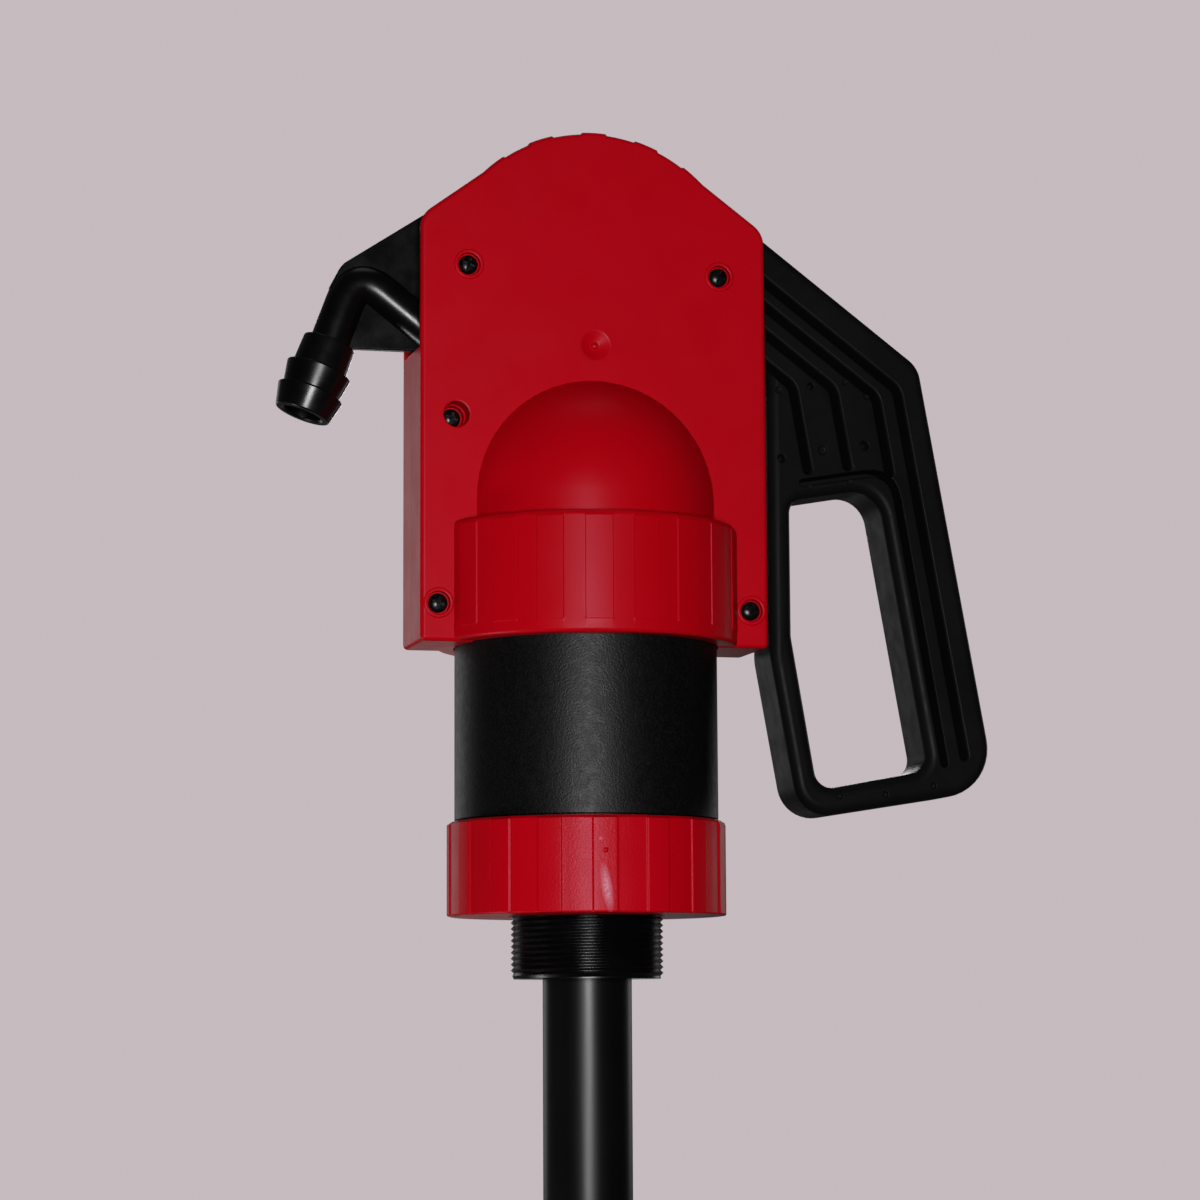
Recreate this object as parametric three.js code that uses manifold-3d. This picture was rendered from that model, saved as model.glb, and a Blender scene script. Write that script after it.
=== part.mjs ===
// Lever-action drum pump, millimetres, +Z up.
// Origin: centre of the underside of the lower union nut, on the pump axis.
// The flat cover faces -Y, the operating lever is at +X and the spout at -X.
import * as THREE from 'three';
import { mergeVertices } from 'three/addons/utils/BufferGeometryUtils.js';
import Module from 'manifold-3d';

const wasm = await Module();
wasm.setup();

// ---------------------------------------------------------------- driving dimensions
const GAP = 0.3;                    // clearance between pieces that touch
const WALL = 3;                     // housing wall

const HOUSING_HALF_WIDTH = 70.1;
const HOUSING_HALF_DEPTH = 18.5;
const HOUSING_BOTTOM = 105.1;
const CROWN_CENTRE_Z = 246.5;       // centre of the arc that forms the housing's top
const CROWN_RADIUS = 62.8;
const CROWN_HALF_ANGLE = 36.4;      // where the arc runs into the straight shoulders
const SHOULDER_FILLET = 10;
const SEAM = 0.15;                  // half the gap between the two shells

const COLLAR_RADIUS = 59.9;
const COLLAR_TOP = 152.5;
const DOME_RADIUS = 51.4;
const DOME_Z = 161.5;

const PIVOT = [51, 253.8];          // lever pivot, x and z
const ROD_PIN_TOP = 286.5;          // rod pin height with the handle down
const PIN_RADIUS = 4;

const CYLINDER_RADIUS = 51.8;
const CYLINDER_BORE = 47.9;
const CYLINDER_BOTTOM = 11.6;
const CYLINDER_TOP = 140.8;
const NUT_RADIUS = 54.8;
const THREAD_ROOT = 50.2;           // cylinder and flange radius inside the union nuts
const LOWER_NUT_HEIGHT = 36.8;

const BUNG_THREAD_RADIUS = 29.8;    // crests of a 2 inch pipe thread
const BUNG_THREAD_LENGTH = 24.3;
const TUBE_RADIUS = 17.4;
const TUBE_BORE = 15.2;
const TUBE_BOTTOM = -455;
const FOOT_BOTTOM = -515;

const BIG_ROUND = 32;               // facets round the cylinder and nuts
const TUBE_ROUND = 24;              // facets round the suction tubes
const SMALL_ROUND = 16;             // facets round pins, bosses and screws

const RED = { color: 0xa41320, roughness: 0.4, metalness: 0 };
const BLACK = { color: 0x141516, roughness: 0.45, metalness: 0 };
const RUBBER = { color: 0x1b1a19, roughness: 0.8, metalness: 0 };
const STEEL = { color: 0xb9bbbd, roughness: 0.28, metalness: 1 };
const SCREW_BLACK = { color: 0x101012, roughness: 0.35, metalness: 0.8 };
const GREY = { color: 0x8d9092, roughness: 0.5, metalness: 0 };

// ---------------------------------------------------------------- helpers
const rad = (degrees) => (degrees * Math.PI) / 180;

function signedVolume(position, index) {
  let sum = 0;
  const corner = (i) => new THREE.Vector3().fromArray(position, index[i] * 3);
  for (let i = 0; i < index.length; i += 3) {
    sum += corner(i).dot(corner(i + 1).cross(corner(i + 2)));
  }
  return sum / 6;
}

// A three.js geometry as a solid that can be joined and cut.
function solid(geometry) {
  const bare = geometry.clone();
  bare.deleteAttribute('normal');
  bare.deleteAttribute('uv');
  const merged = mergeVertices(bare, 1e-4);
  const position = Float32Array.from(merged.attributes.position.array);
  const kept = [];
  for (let i = 0; i < merged.index.count; i += 3) {
    const [a, b, c] = [0, 1, 2].map((k) => merged.index.getX(i + k));
    if (a !== b && b !== c && a !== c) kept.push(a, b, c);
  }
  const outward = signedVolume(position, kept) > 0 ? kept : kept.reverse();
  const mesh = new wasm.Mesh({
    numProp: 3,
    vertProperties: position,
    triVerts: Uint32Array.from(outward),
  });
  return new wasm.Manifold(mesh);
}

const join = (parts) => parts.reduce((sum, part) => sum.add(part));
const cut = (body, tools) => tools.reduce((rest, tool) => rest.subtract(tool), body);

function toGeometry(body) {
  const mesh = body.getMesh();
  const geometry = new THREE.BufferGeometry();
  const position = new THREE.BufferAttribute(Float32Array.from(mesh.vertProperties), 3);
  geometry.setAttribute('position', position);
  geometry.setIndex(new THREE.BufferAttribute(Uint32Array.from(mesh.triVerts), 1));
  return geometry;
}

function piece(name, body, look, position = [0, 0, 0]) {
  const mesh = new THREE.Mesh(toGeometry(body), new THREE.MeshStandardMaterial(look));
  mesh.name = name;
  mesh.position.set(...position);
  return mesh;
}

// Turned about Z from a closed [radius, height] profile.
function turned(profile, facets = BIG_ROUND) {
  const points = [...profile, profile[0]].map(([r, z]) => new THREE.Vector2(r, z));
  return solid(new THREE.LatheGeometry(points, facets).rotateX(Math.PI / 2));
}

const disc = (radius, bottom, top, facets = BIG_ROUND) =>
  turned([[0, bottom], [radius, bottom], [radius, top], [0, top]], facets);

const ring = (inner, outer, bottom, top, facets = BIG_ROUND) =>
  turned([[inner, bottom], [outer, bottom], [outer, top], [inner, top]], facets);

// An outline in the XZ plane, as thick as the two Y values say.
function slab(shape, yFront, yBack) {
  const geometry = new THREE.ExtrudeGeometry(shape, {
    depth: yBack - yFront,
    bevelEnabled: false,
    curveSegments: 6,
  });
  return solid(geometry.rotateX(Math.PI / 2).translate(0, yBack, 0));
}

// A cylinder along Y.
function peg(x, z, radius, yFront, yBack, facets = SMALL_ROUND) {
  const geometry = new THREE.CylinderGeometry(radius, radius, yBack - yFront, facets);
  return solid(geometry.translate(x, (yFront + yBack) / 2, z));
}

function block(x0, x1, y0, y1, z0, z1) {
  const geometry = new THREE.BoxGeometry(x1 - x0, y1 - y0, z1 - z0);
  return solid(geometry.translate((x0 + x1) / 2, (y0 + y1) / 2, (z0 + z1) / 2));
}

// A closed outline through [x, z, corner radius] points.
function roundedOutline(points) {
  const shape = new THREE.Shape();
  points.forEach(([x, z, radius], i) => {
    const here = new THREE.Vector2(x, z);
    const before = points[(i + points.length - 1) % points.length];
    const after = points[(i + 1) % points.length];
    const back = new THREE.Vector2(before[0], before[1]).sub(here).normalize();
    const ahead = new THREE.Vector2(after[0], after[1]).sub(here).normalize();
    const half = Math.acos(back.dot(ahead)) / 2;
    const reach = radius / Math.tan(half);
    const start = here.clone().addScaledVector(back, reach);
    const end = here.clone().addScaledVector(ahead, reach);
    if (i === 0) shape.moveTo(start.x, start.y);
    else shape.lineTo(start.x, start.y);
    if (radius === 0) return;
    const middle = back.clone().add(ahead).normalize();
    const centre = here.clone().addScaledVector(middle, radius / Math.sin(half));
    const from = start.clone().sub(centre).angle();
    const to = end.clone().sub(centre).angle();
    const turn = Math.atan2(Math.sin(to - from), Math.cos(to - from));
    shape.absarc(centre.x, centre.y, radius, from, from + turn, turn < 0);
  });
  return shape;
}

// A round-edged wheel outline with raised pads, in the XY plane.
function paddedWheel(radius, step, padCentres, padWidth, bottom, top) {
  const shape = new THREE.Shape();
  const corners = [];
  padCentres.forEach((centre) => {
    const [from, to] = [centre - padWidth / 2, centre + padWidth / 2];
    corners.push([radius, from - 0.6], [radius + step, from + 0.6]);
    corners.push([radius + step, to - 0.6], [radius, to + 0.6]);
  });
  corners.forEach(([r, angle], i) => {
    const [x, y] = [r * Math.sin(rad(angle)), -r * Math.cos(rad(angle))];
    if (i === 0) shape.moveTo(x, y);
    else shape.lineTo(x, y);
  });
  const geometry = new THREE.ExtrudeGeometry(shape, { depth: top - bottom, bevelEnabled: false });
  return solid(geometry.translate(0, 0, bottom));
}

const evenly = (count, first = 0) =>
  Array.from({ length: count }, (_, i) => first + (360 / count) * i);

// ---------------------------------------------------------------- housing shells
const SCREWS = [
  { name: 'upper_left', x: -51, z: 253.8, seat: -16.3 },
  { name: 'upper_right', x: PIVOT[0], z: PIVOT[1], seat: -16.3 },
  { name: 'lower_left', x: -63, z: 119.9, seat: -16.3 },
  { name: 'lower_right', x: 63, z: 119.9, seat: -16.3 },
  { name: 'side_left', x: -55.9, z: 194.1, seat: -6.5 },
];
const SCREW_HEAD_RADIUS = 3.8;
const RECESS_RADIUS = 4.4;          // room round a screw head
const LIP_RADIUS = 6;               // raised lip round a shallow recess
const DEEP_MOUTH_RADIUS = 5;        // wider mouth of the deep recess
const DEEP_MOUTH_END = -11;
const SCREW_SHANK_RADIUS = 2;
const BOSS_RADIUS = 6.5;
const SPOUT_WINDOW_BOTTOM = 220.8;
const LEVER_WINDOW_BOTTOM = 215;
const WINDOW_INNER_X = 46;

function housingOutline(inset) {
  const shape = new THREE.Shape();
  const side = HOUSING_HALF_WIDTH - inset;
  const bottom = HOUSING_BOTTOM + inset;
  const crown = CROWN_RADIUS - inset;
  const fillet = SHOULDER_FILLET - inset;
  const slope = rad(90 - CROWN_HALF_ANGLE);
  const reach = CROWN_CENTRE_Z * Math.sin(slope) + crown - fillet;
  const filletX = side - fillet;
  const filletZ = (reach - Math.cos(slope) * filletX) / Math.sin(slope);
  shape.moveTo(side, bottom);
  shape.lineTo(side, filletZ);
  shape.absarc(filletX, filletZ, fillet, 0, slope, false);
  shape.absarc(0, CROWN_CENTRE_Z, crown, slope, Math.PI - slope, false);
  shape.absarc(-filletX, filletZ, fillet, Math.PI - slope, Math.PI, false);
  shape.lineTo(-side, bottom);
  return shape;
}

const domeProfile = (radius, bottom) => {
  const steps = 5;
  const arc = Array.from({ length: steps + 1 }, (_, i) => rad((i * 90) / steps))
    .map((a) => [radius * Math.cos(a), DOME_Z + radius * Math.sin(a)]);
  arc[steps][0] = 0;
  return [[0, bottom], [radius, bottom], ...arc];
};

function crownPads() {
  return [-40, -20, 0, 20, 40].map((angle) => {
    const shape = new THREE.Shape();
    const [from, to] = [rad(90 - angle - 4.6), rad(90 - angle + 4.6)];
    shape.absarc(0, CROWN_CENTRE_Z, CROWN_RADIUS - 1.5, from, to, false);
    shape.absarc(0, CROWN_CENTRE_Z, CROWN_RADIUS + 0.7, to, from, true);
    return slab(shape, -HOUSING_HALF_DEPTH, HOUSING_HALF_DEPTH);
  });
}

function housingSkin() {
  const collarPads = evenly(20, 9);
  return join([
    slab(housingOutline(0), -HOUSING_HALF_DEPTH, HOUSING_HALF_DEPTH),
    paddedWheel(COLLAR_RADIUS, 0.5, collarPads, 10, 105.5, COLLAR_TOP),
    turned(domeProfile(DOME_RADIUS, 150)),
    ...crownPads(),
  ]);
}

function housingHollow() {
  const inner = HOUSING_HALF_DEPTH - WALL;
  return join([
    slab(housingOutline(WALL), -inner, inner),
    disc(NUT_RADIUS + GAP, 108.6, 149.6),
    turned(domeProfile(DOME_RADIUS - WALL, 149)),
    disc(CYLINDER_RADIUS + 0.5, 100, 109),
    block(-80, -WINDOW_INNER_X, -inner, inner, SPOUT_WINDOW_BOTTOM, 320),
    block(WINDOW_INNER_X, 80, -inner, inner, LEVER_WINDOW_BOTTOM, 320),
  ]);
}

// side is -1 for the front shell, which carries the screw heads, and 1 for the back.
function shell(side) {
  const halfSpace = side < 0 ? [-90, -SEAM] : [SEAM, 90];
  const inner = HOUSING_HALF_DEPTH - WALL + 0.4;
  const [bossFront, bossBack] = side < 0 ? [-inner, -SEAM] : [SEAM, inner];
  const half = block(-100, 100, ...halfSpace, 90, 330);
  const bosses = SCREWS.map(({ x, z }) => peg(x, z, BOSS_RADIUS, bossFront, bossBack));
  const body = cut(housingSkin().intersect(half), [housingHollow()]);
  if (side > 0) {
    const holes = SCREWS.map(({ x, z }) => peg(x, z, SCREW_SHANK_RADIUS + GAP, -1, 12.3, 12));
    return cut(join([body, ...bosses]), holes);
  }
  const lips = SCREWS.filter(({ seat }) => seat < -10)
    .map(({ x, z }) => peg(x, z, LIP_RADIUS, -HOUSING_HALF_DEPTH - 0.7, -16.5));
  const recesses = SCREWS.map(({ x, z, seat }) => peg(x, z, RECESS_RADIUS, -25, seat));
  SCREWS.filter(({ seat }) => seat > -10)
    .forEach(({ x, z }) => recesses.push(peg(x, z, DEEP_MOUTH_RADIUS, -25, DEEP_MOUTH_END)));
  const shanks = SCREWS.map(({ x, z }) => peg(x, z, SCREW_SHANK_RADIUS + GAP, -25, 1, 12));
  return cut(join([body, ...bosses, ...lips]), [...recesses, ...shanks]);
}

// A domed screw with its head towards -Y; local origin under the head.
function shellScrew(seat) {
  const tip = 12 - seat;
  const profile = [[0, -2.4], [2.4, -2.1], [SCREW_HEAD_RADIUS, -1.1], [SCREW_HEAD_RADIUS, -GAP],
    [SCREW_SHANK_RADIUS, -GAP], [SCREW_SHANK_RADIUS, tip - 1], [1, tip], [0, tip]];
  const geometry = new THREE.LatheGeometry(
    [...profile, profile[0]].map(([r, y]) => new THREE.Vector2(r, y)), 12);
  const slot = (w, d) => solid(new THREE.BoxGeometry(w, 1.6, d).translate(0, -2.4, 0));
  return cut(solid(geometry), [slot(4.6, 0.9), slot(0.9, 4.6)]);
}

// ---------------------------------------------------------------- operating lever
const LEVER_HALF_DEPTH = 14;
const GROOVE_DEPTH = 9;
const GROOVE_WIDTH = 3;
const GRIP_TILT = rad(10);
const TOP_EDGE = { x: 72.7, z: 270.6, angle: rad(-36.9) };
const RIGHT_EDGE = { x: 139.4, z: 209, angle: rad(-90) + GRIP_TILT };
const ARM_ANGLE = rad(147.35);      // rod arm, seen from the pivot with the handle down
const ARM_HALF_WIDTH = 10;
const ARM_HALF_DEPTH = 10.5;
const FORK_HALF_GAP = 4.9;
const SLOT_HALF_WIDTH = 5.7;
const SLOT_NEAR = 51;
const SLOT_FAR = 60.6;
const HUB_RADIUS = 26.2;
const SLEEVE_RADIUS = 8.3;

// Where the lines parallel to the lever's top and right edges meet.
function cornerInside(belowTop, leftOfRight) {
  const [ta, ra] = [TOP_EDGE.angle, RIGHT_EDGE.angle];
  const tx = TOP_EDGE.x + belowTop * Math.sin(ta);
  const tz = TOP_EDGE.z - belowTop * Math.cos(ta);
  const rx = RIGHT_EDGE.x + leftOfRight * Math.sin(ra);
  const rz = RIGHT_EDGE.z - leftOfRight * Math.cos(ra);
  const det = Math.cos(ta) * Math.sin(ra) - Math.sin(ta) * Math.cos(ra);
  const along = ((rx - tx) * Math.sin(ra) - (rz - tz) * Math.cos(ra)) / det;
  return [tx + along * Math.cos(ta), tz + along * Math.sin(ta)];
}

// A channel of constant width along a run of [x, z] points.
function channel(points, width, yFront, yBack) {
  const runs = points.slice(1).map((end, i) => {
    const [x0, z0] = points[i];
    const length = Math.hypot(end[0] - x0, end[1] - z0);
    const box = new THREE.BoxGeometry(length, yBack - yFront, width);
    box.rotateY(-Math.atan2(end[1] - z0, end[0] - x0));
    const middle = [(x0 + end[0]) / 2, (yFront + yBack) / 2, (z0 + end[1]) / 2];
    return solid(box.translate(...middle));
  });
  const bends = points.slice(1, -1).map(([x, z]) => peg(x, z, width / 2, yFront, yBack, 12));
  return join([...runs, ...bends]);
}

const GRIP_OPENING = [
  [81.7, 165.5, 6], [118.5, 172, 12], [138.3, 58.3, 7], [92, 49.8, 7], [81.7, 110.8, 10],
];

function leverGrooves() {
  const start = 64;
  const rows = [
    { below: 14.2, left: 11.8, end: 64 },
    { below: 22.2, left: 21.3, end: 178 },
    { below: 31.1, left: 38.6, end: 180 },
    { below: 41.0, left: 55.4, end: 178 },
  ];
  const runs = rows.map(({ below, left, end }) => {
    const bend = cornerInside(below, left);
    const first = [start, bend[1] - (start - bend[0]) * Math.tan(-TOP_EDGE.angle)];
    const last = [bend[0] + (bend[1] - end) * Math.tan(GRIP_TILT), end];
    return [first, bend, last];
  });
  const arch = [[86.5, 172.6], [110, 176.9], [119.5, 174.2], [125.8, 166.5], [144.4, 61]];
  return [...runs, arch].flatMap((run) => [
    channel(run, GROOVE_WIDTH, -LEVER_HALF_DEPTH - 1, -LEVER_HALF_DEPTH + GROOVE_DEPTH),
    channel(run, GROOVE_WIDTH, LEVER_HALF_DEPTH - GROOVE_DEPTH, LEVER_HALF_DEPTH + 1),
  ]);
}

const alongArm = (r) => [PIVOT[0] + r * Math.cos(ARM_ANGLE), PIVOT[1] + r * Math.sin(ARM_ANGLE)];

function lever() {
  const corner = cornerInside(0, 0);
  const across = rad(90) + TOP_EDGE.angle;
  const foot = [PIVOT[0] + HUB_RADIUS * Math.cos(across), PIVOT[1] + HUB_RADIUS * Math.sin(across)];
  const outline = roundedOutline([
    [...foot, 0], [...corner, 12], [167.3, 51, 20], [84.3, 37.9, 14],
    [72.8, 102.7, 15], [72.8, 217, 5], [61, 230, 0], [PIVOT[0], PIVOT[1] - 10, 0],
  ]);
  const d = LEVER_HALF_DEPTH;
  const arm = join([
    channel([alongArm(10), alongArm(SLOT_FAR)], 2 * ARM_HALF_WIDTH, -ARM_HALF_DEPTH, ARM_HALF_DEPTH),
    peg(...alongArm(SLOT_FAR), ARM_HALF_WIDTH, -ARM_HALF_DEPTH, ARM_HALF_DEPTH),
  ]);
  const body = join([slab(outline, -d, d), peg(...PIVOT, HUB_RADIUS, -d, d, TUBE_ROUND), arm]);
  const slot = join([
    channel([alongArm(SLOT_NEAR), alongArm(SLOT_FAR)], 2 * SLOT_HALF_WIDTH, -15, 15),
    peg(...alongArm(SLOT_NEAR), SLOT_HALF_WIDTH, -15, 15, 16),
    peg(...alongArm(SLOT_FAR), SLOT_HALF_WIDTH, -15, 15, 16),
  ]);
  const fork = channel([alongArm(38), alongArm(80)], 30, -FORK_HALF_GAP, FORK_HALF_GAP);
  const bore = peg(...PIVOT, SLEEVE_RADIUS + GAP, -20, 20);
  const opening = slab(roundedOutline(GRIP_OPENING), -20, 20);
  return cut(body, [slot, fork, bore, opening, ...leverGrooves()])
    .translate(-PIVOT[0], 0, -PIVOT[1]);
}

const pivotSleeve = () => {
  const length = 2 * (HOUSING_HALF_DEPTH - WALL) - 0.6;
  return peg(0, 0, SLEEVE_RADIUS, -length / 2, length / 2)
    .subtract(peg(0, 0, BOSS_RADIUS + GAP, -20, 20));
};

// ---------------------------------------------------------------- piston and rod
// Local heights are measured from the rod pin.
const ROD_RADIUS = 6;
const PISTON_RADIUS = 46.6;
const PISTON_TOP = -166;            // upper face of the piston disc below the pin
const PISTON_DEPTH = 14;

function pistonRod() {
  const shank = disc(ROD_RADIUS, PISTON_TOP - PISTON_DEPTH - 12, -4, SMALL_ROUND);
  const flats = [[-20, -4.4], [4.4, 20]].map(([y0, y1]) => block(-10, 10, y0, y1, -17, 10));
  const eye = peg(0, 0, 8, -4.4, 4.4);
  const step = ring(5, 20, PISTON_TOP - PISTON_DEPTH - 20, PISTON_TOP, SMALL_ROUND);
  return cut(join([cut(shank, flats), eye]), [peg(0, 0, PIN_RADIUS + GAP, -10, 10), step]);
}

function pistonPorts() {
  return evenly(6).map((angle) => {
    const port = new THREE.CylinderGeometry(7, 7, 40, 12).rotateX(Math.PI / 2);
    const [x, y] = [26 * Math.cos(rad(angle)), 26 * Math.sin(rad(angle))];
    return solid(port.translate(x, y, PISTON_TOP));
  });
}

function piston() {
  const [top, bottom] = [PISTON_TOP, PISTON_TOP - PISTON_DEPTH];
  const body = turned([[5 + GAP, bottom], [PISTON_RADIUS, bottom], [PISTON_RADIUS, bottom + 3],
    [43, bottom + 3], [43, top - 3], [PISTON_RADIUS, top - 3], [PISTON_RADIUS, top], [12, top],
    [12, top - GAP], [5 + GAP, top - GAP]]);
  return cut(body, pistonPorts());
}

const pistonSeal = () => {
  const [top, bottom] = [PISTON_TOP - 3 - GAP, PISTON_TOP - PISTON_DEPTH + 3 + GAP];
  return turned([[43 + GAP, bottom], [47.2, bottom], [47.6, bottom + 2], [46.6, (top + bottom) / 2],
    [47.6, top - 2], [47.2, top], [43 + GAP, top]]);
};

// The valve disc lies on the piston's upper face and lifts to the stop ring.
const PISTON_VALVE_LIFT = 3;
const pistonValve = () => ring(ROD_RADIUS + 0.6, 35.5, PISTON_TOP + GAP, PISTON_TOP + 2.3);
const VALVE_STOP_BOTTOM = PISTON_TOP + 2.3 + PISTON_VALVE_LIFT + 0.5;
const valveStop = () => turned([[ROD_RADIUS + GAP, VALVE_STOP_BOTTOM], [24, VALVE_STOP_BOTTOM],
  [24, VALVE_STOP_BOTTOM + 1.5], [11, VALVE_STOP_BOTTOM + 3.5], [11, VALVE_STOP_BOTTOM + 8],
  [ROD_RADIUS + GAP, VALVE_STOP_BOTTOM + 8]], SMALL_ROUND);
const pistonNut = () => {
  const top = PISTON_TOP - PISTON_DEPTH - GAP;
  return disc(9.5, top - 8, top, 6).subtract(disc(5 + GAP, top - 9, top + 1, SMALL_ROUND));
};

const rodPin = () => peg(0, 0, PIN_RADIUS, -13.4, 13.4, 16)
  .subtract(ring(3.2, 8, -12.9, -11.1, 16).rotate([90, 0, 0]))
  .subtract(ring(3.2, 8, 11.1, 12.9, 16).rotate([90, 0, 0]));
const pinClip = () => peg(0, 0, 6.6, -0.6, 0.6, 16).subtract(peg(0, 0, 3.5, -2, 2, 16))
  .subtract(block(-2.4, 2.4, -2, 2, 0, 9));

// ---------------------------------------------------------------- cylinder, head and nuts
const HEAD_FLANGE_BOTTOM = 142.9;
const HEAD_DOME_Z = 149;
const HEAD_DOME_RADIUS = 46.5;
const GLAND_FLOOR = 189.5;
const HEAD_TOP = 203;
const PORT_ANGLE = rad(125);        // outlet socket direction from the head's centre
const PORT_SOCKET_RADIUS = 11.5;
const PORT_SOCKET_END = 60;
const SPIGOT_RADIUS = 8.5;
const SPIGOT_END = 48.5;

// Turned about the outlet port's axis; heights run out from the head's centre.
function onPortAxis(body) {
  return body.rotate([0, 90 - (PORT_ANGLE * 180) / Math.PI, 0]).translate(0, 0, HEAD_DOME_Z);
}

function cylinder() {
  const threadLow = LOWER_NUT_HEIGHT + 0.5;
  return turned([[CYLINDER_BORE, CYLINDER_BOTTOM], [THREAD_ROOT, CYLINDER_BOTTOM],
    [THREAD_ROOT, threadLow], [CYLINDER_RADIUS, threadLow], [CYLINDER_RADIUS, 112.5],
    [THREAD_ROOT, 112.5], [THREAD_ROOT, CYLINDER_TOP], [CYLINDER_BORE, CYLINDER_TOP]]);
}

function cylinderHead() {
  const quarter = (radius) => Array.from({ length: 4 }, (_, i) => rad(i * 22.5))
    .map((a) => [radius * Math.cos(a), HEAD_DOME_Z + radius * Math.sin(a)]);
  const flangeTop = HEAD_FLANGE_BOTTOM + 3;
  const shell = turned([[HEAD_DOME_RADIUS - 3.5, HEAD_FLANGE_BOTTOM], [THREAD_ROOT, HEAD_FLANGE_BOTTOM],
    [THREAD_ROOT, flangeTop], [HEAD_DOME_RADIUS, flangeTop], ...quarter(HEAD_DOME_RADIUS),
    [0, HEAD_DOME_Z + HEAD_DOME_RADIUS], [0, HEAD_DOME_Z + HEAD_DOME_RADIUS - 3.5],
    ...quarter(HEAD_DOME_RADIUS - 3.5).reverse()]);
  const socket = onPortAxis(disc(PORT_SOCKET_RADIUS, 43.6, PORT_SOCKET_END, SMALL_ROUND));
  const glandBoss = disc(13, GLAND_FLOOR - 3.5, HEAD_TOP, SMALL_ROUND);
  return cut(join([shell, socket, glandBoss]), [
    onPortAxis(disc(SPIGOT_RADIUS + GAP, 47.5, 70, SMALL_ROUND)),
    onPortAxis(disc(6.5, 36, 50, 16)),
    disc(9.5, GLAND_FLOOR, 220, SMALL_ROUND),
    disc(ROD_RADIUS + 0.4, 170, 220, SMALL_ROUND),
  ]);
}

const headSeal = () => ring(CYLINDER_BORE, THREAD_ROOT, CYLINDER_TOP + GAP, HEAD_FLANGE_BOTTOM - GAP);
const rodSeal = () => ring(ROD_RADIUS + GAP, 9.2, GLAND_FLOOR + GAP, GLAND_FLOOR + 5, SMALL_ROUND);
function glandNut() {
  const body = turned([[ROD_RADIUS + 0.4, GLAND_FLOOR + 5.3], [9.2, GLAND_FLOOR + 5.3],
    [9.2, HEAD_TOP + GAP], [11, HEAD_TOP + GAP], [11, 209.2], [ROD_RADIUS + 0.4, 209.2]], SMALL_ROUND);
  const hexagon = join([disc(10.9, HEAD_TOP, 215, 6), disc(9.3, 180, HEAD_TOP + GAP, SMALL_ROUND)]);
  return body.intersect(hexagon);
}

function upperNut() {
  const [bottom, top] = [113, 149.2];
  return turned([[THREAD_ROOT + GAP, bottom], [NUT_RADIUS, bottom], [NUT_RADIUS, top],
    [HEAD_DOME_RADIUS + 0.5, top], [HEAD_DOME_RADIUS + 0.5, top - 3], [THREAD_ROOT + GAP, top - 3]]);
}

function lowerNut() {
  const top = LOWER_NUT_HEIGHT;
  const body = paddedWheel(NUT_RADIUS - 0.6, 0.6, evenly(16, -6.6), 10, 0, top);
  return cut(body, [disc(THREAD_ROOT + GAP, 3.5, top + 1), disc(BUNG_THREAD_RADIUS + 0.5, -1, 10)]);
}

// ---------------------------------------------------------------- bung adapter and suction side
const ADAPTER_TOP = 9;

function bungAdapter() {
  const body = turned([[13, ADAPTER_TOP], [THREAD_ROOT, ADAPTER_TOP], [THREAD_ROOT, 3.8],
    [BUNG_THREAD_RADIUS, 3.8], [BUNG_THREAD_RADIUS, 1.4 - BUNG_THREAD_LENGTH],
    [BUNG_THREAD_RADIUS - 1.4, -BUNG_THREAD_LENGTH], [TUBE_RADIUS + 0.35, -BUNG_THREAD_LENGTH],
    [TUBE_RADIUS + 0.35, -4.5], [TUBE_RADIUS + 2.5, -4.5], [TUBE_RADIUS + 2.5, -1.2],
    [TUBE_RADIUS + 0.35, -1.2], [TUBE_RADIUS + 0.35, 2], [13, 2]], TUBE_ROUND);
  return body.add(turned([[13, 8.5], [16, 8.5], [16, 9.6], [14.6, 11], [13, 11]], TUBE_ROUND));
}

const adapterSeal = () => ring(CYLINDER_BORE, THREAD_ROOT, ADAPTER_TOP + GAP, CYLINDER_BOTTOM - GAP);
const tubeSeal = () => ring(TUBE_RADIUS + GAP / 2, TUBE_RADIUS + 2.2, -4.2, -1.5, TUBE_ROUND);
const inletValve = () => disc(17.5, 11 + GAP, 13.4, TUBE_ROUND);

function inletValveCage() {
  const cage = turned([[20, ADAPTER_TOP + GAP], [25, ADAPTER_TOP + GAP], [25, 12], [23, 12], [23, 20],
    [8, 20], [8, 17.2], [20, 17.2]], TUBE_ROUND);
  const windows = evenly(4).map((angle) => block(0, 40, -10, 10, 12.8, 16.8).rotate([0, 0, angle]));
  return cut(cage, windows);
}

const suctionTube = () => ring(TUBE_BORE, TUBE_RADIUS, TUBE_BOTTOM, 1.7, TUBE_ROUND);

const FERRULE_BORE = 14.3;
function tubeFerrule() {
  const z = TUBE_BOTTOM - GAP;
  return turned([[FERRULE_BORE, z - 16], [21.5, z - 16], [21.5, z], [TUBE_RADIUS + 0.3, z],
    [FERRULE_BORE, z]], TUBE_ROUND);
}

function lockCollar() {
  const [top, bottom] = [TUBE_BOTTOM - 17, TUBE_BOTTOM - 29];
  const body = ring(FERRULE_BORE, 20.5, bottom, top, TUBE_ROUND);
  const wing = block(15, 31, -3, 3, bottom + 2, top - 2);
  return join([body, wing, wing.rotate([0, 0, 180])])
    .subtract(disc(FERRULE_BORE, bottom - 1, top + 1, TUBE_ROUND));
}

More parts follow.
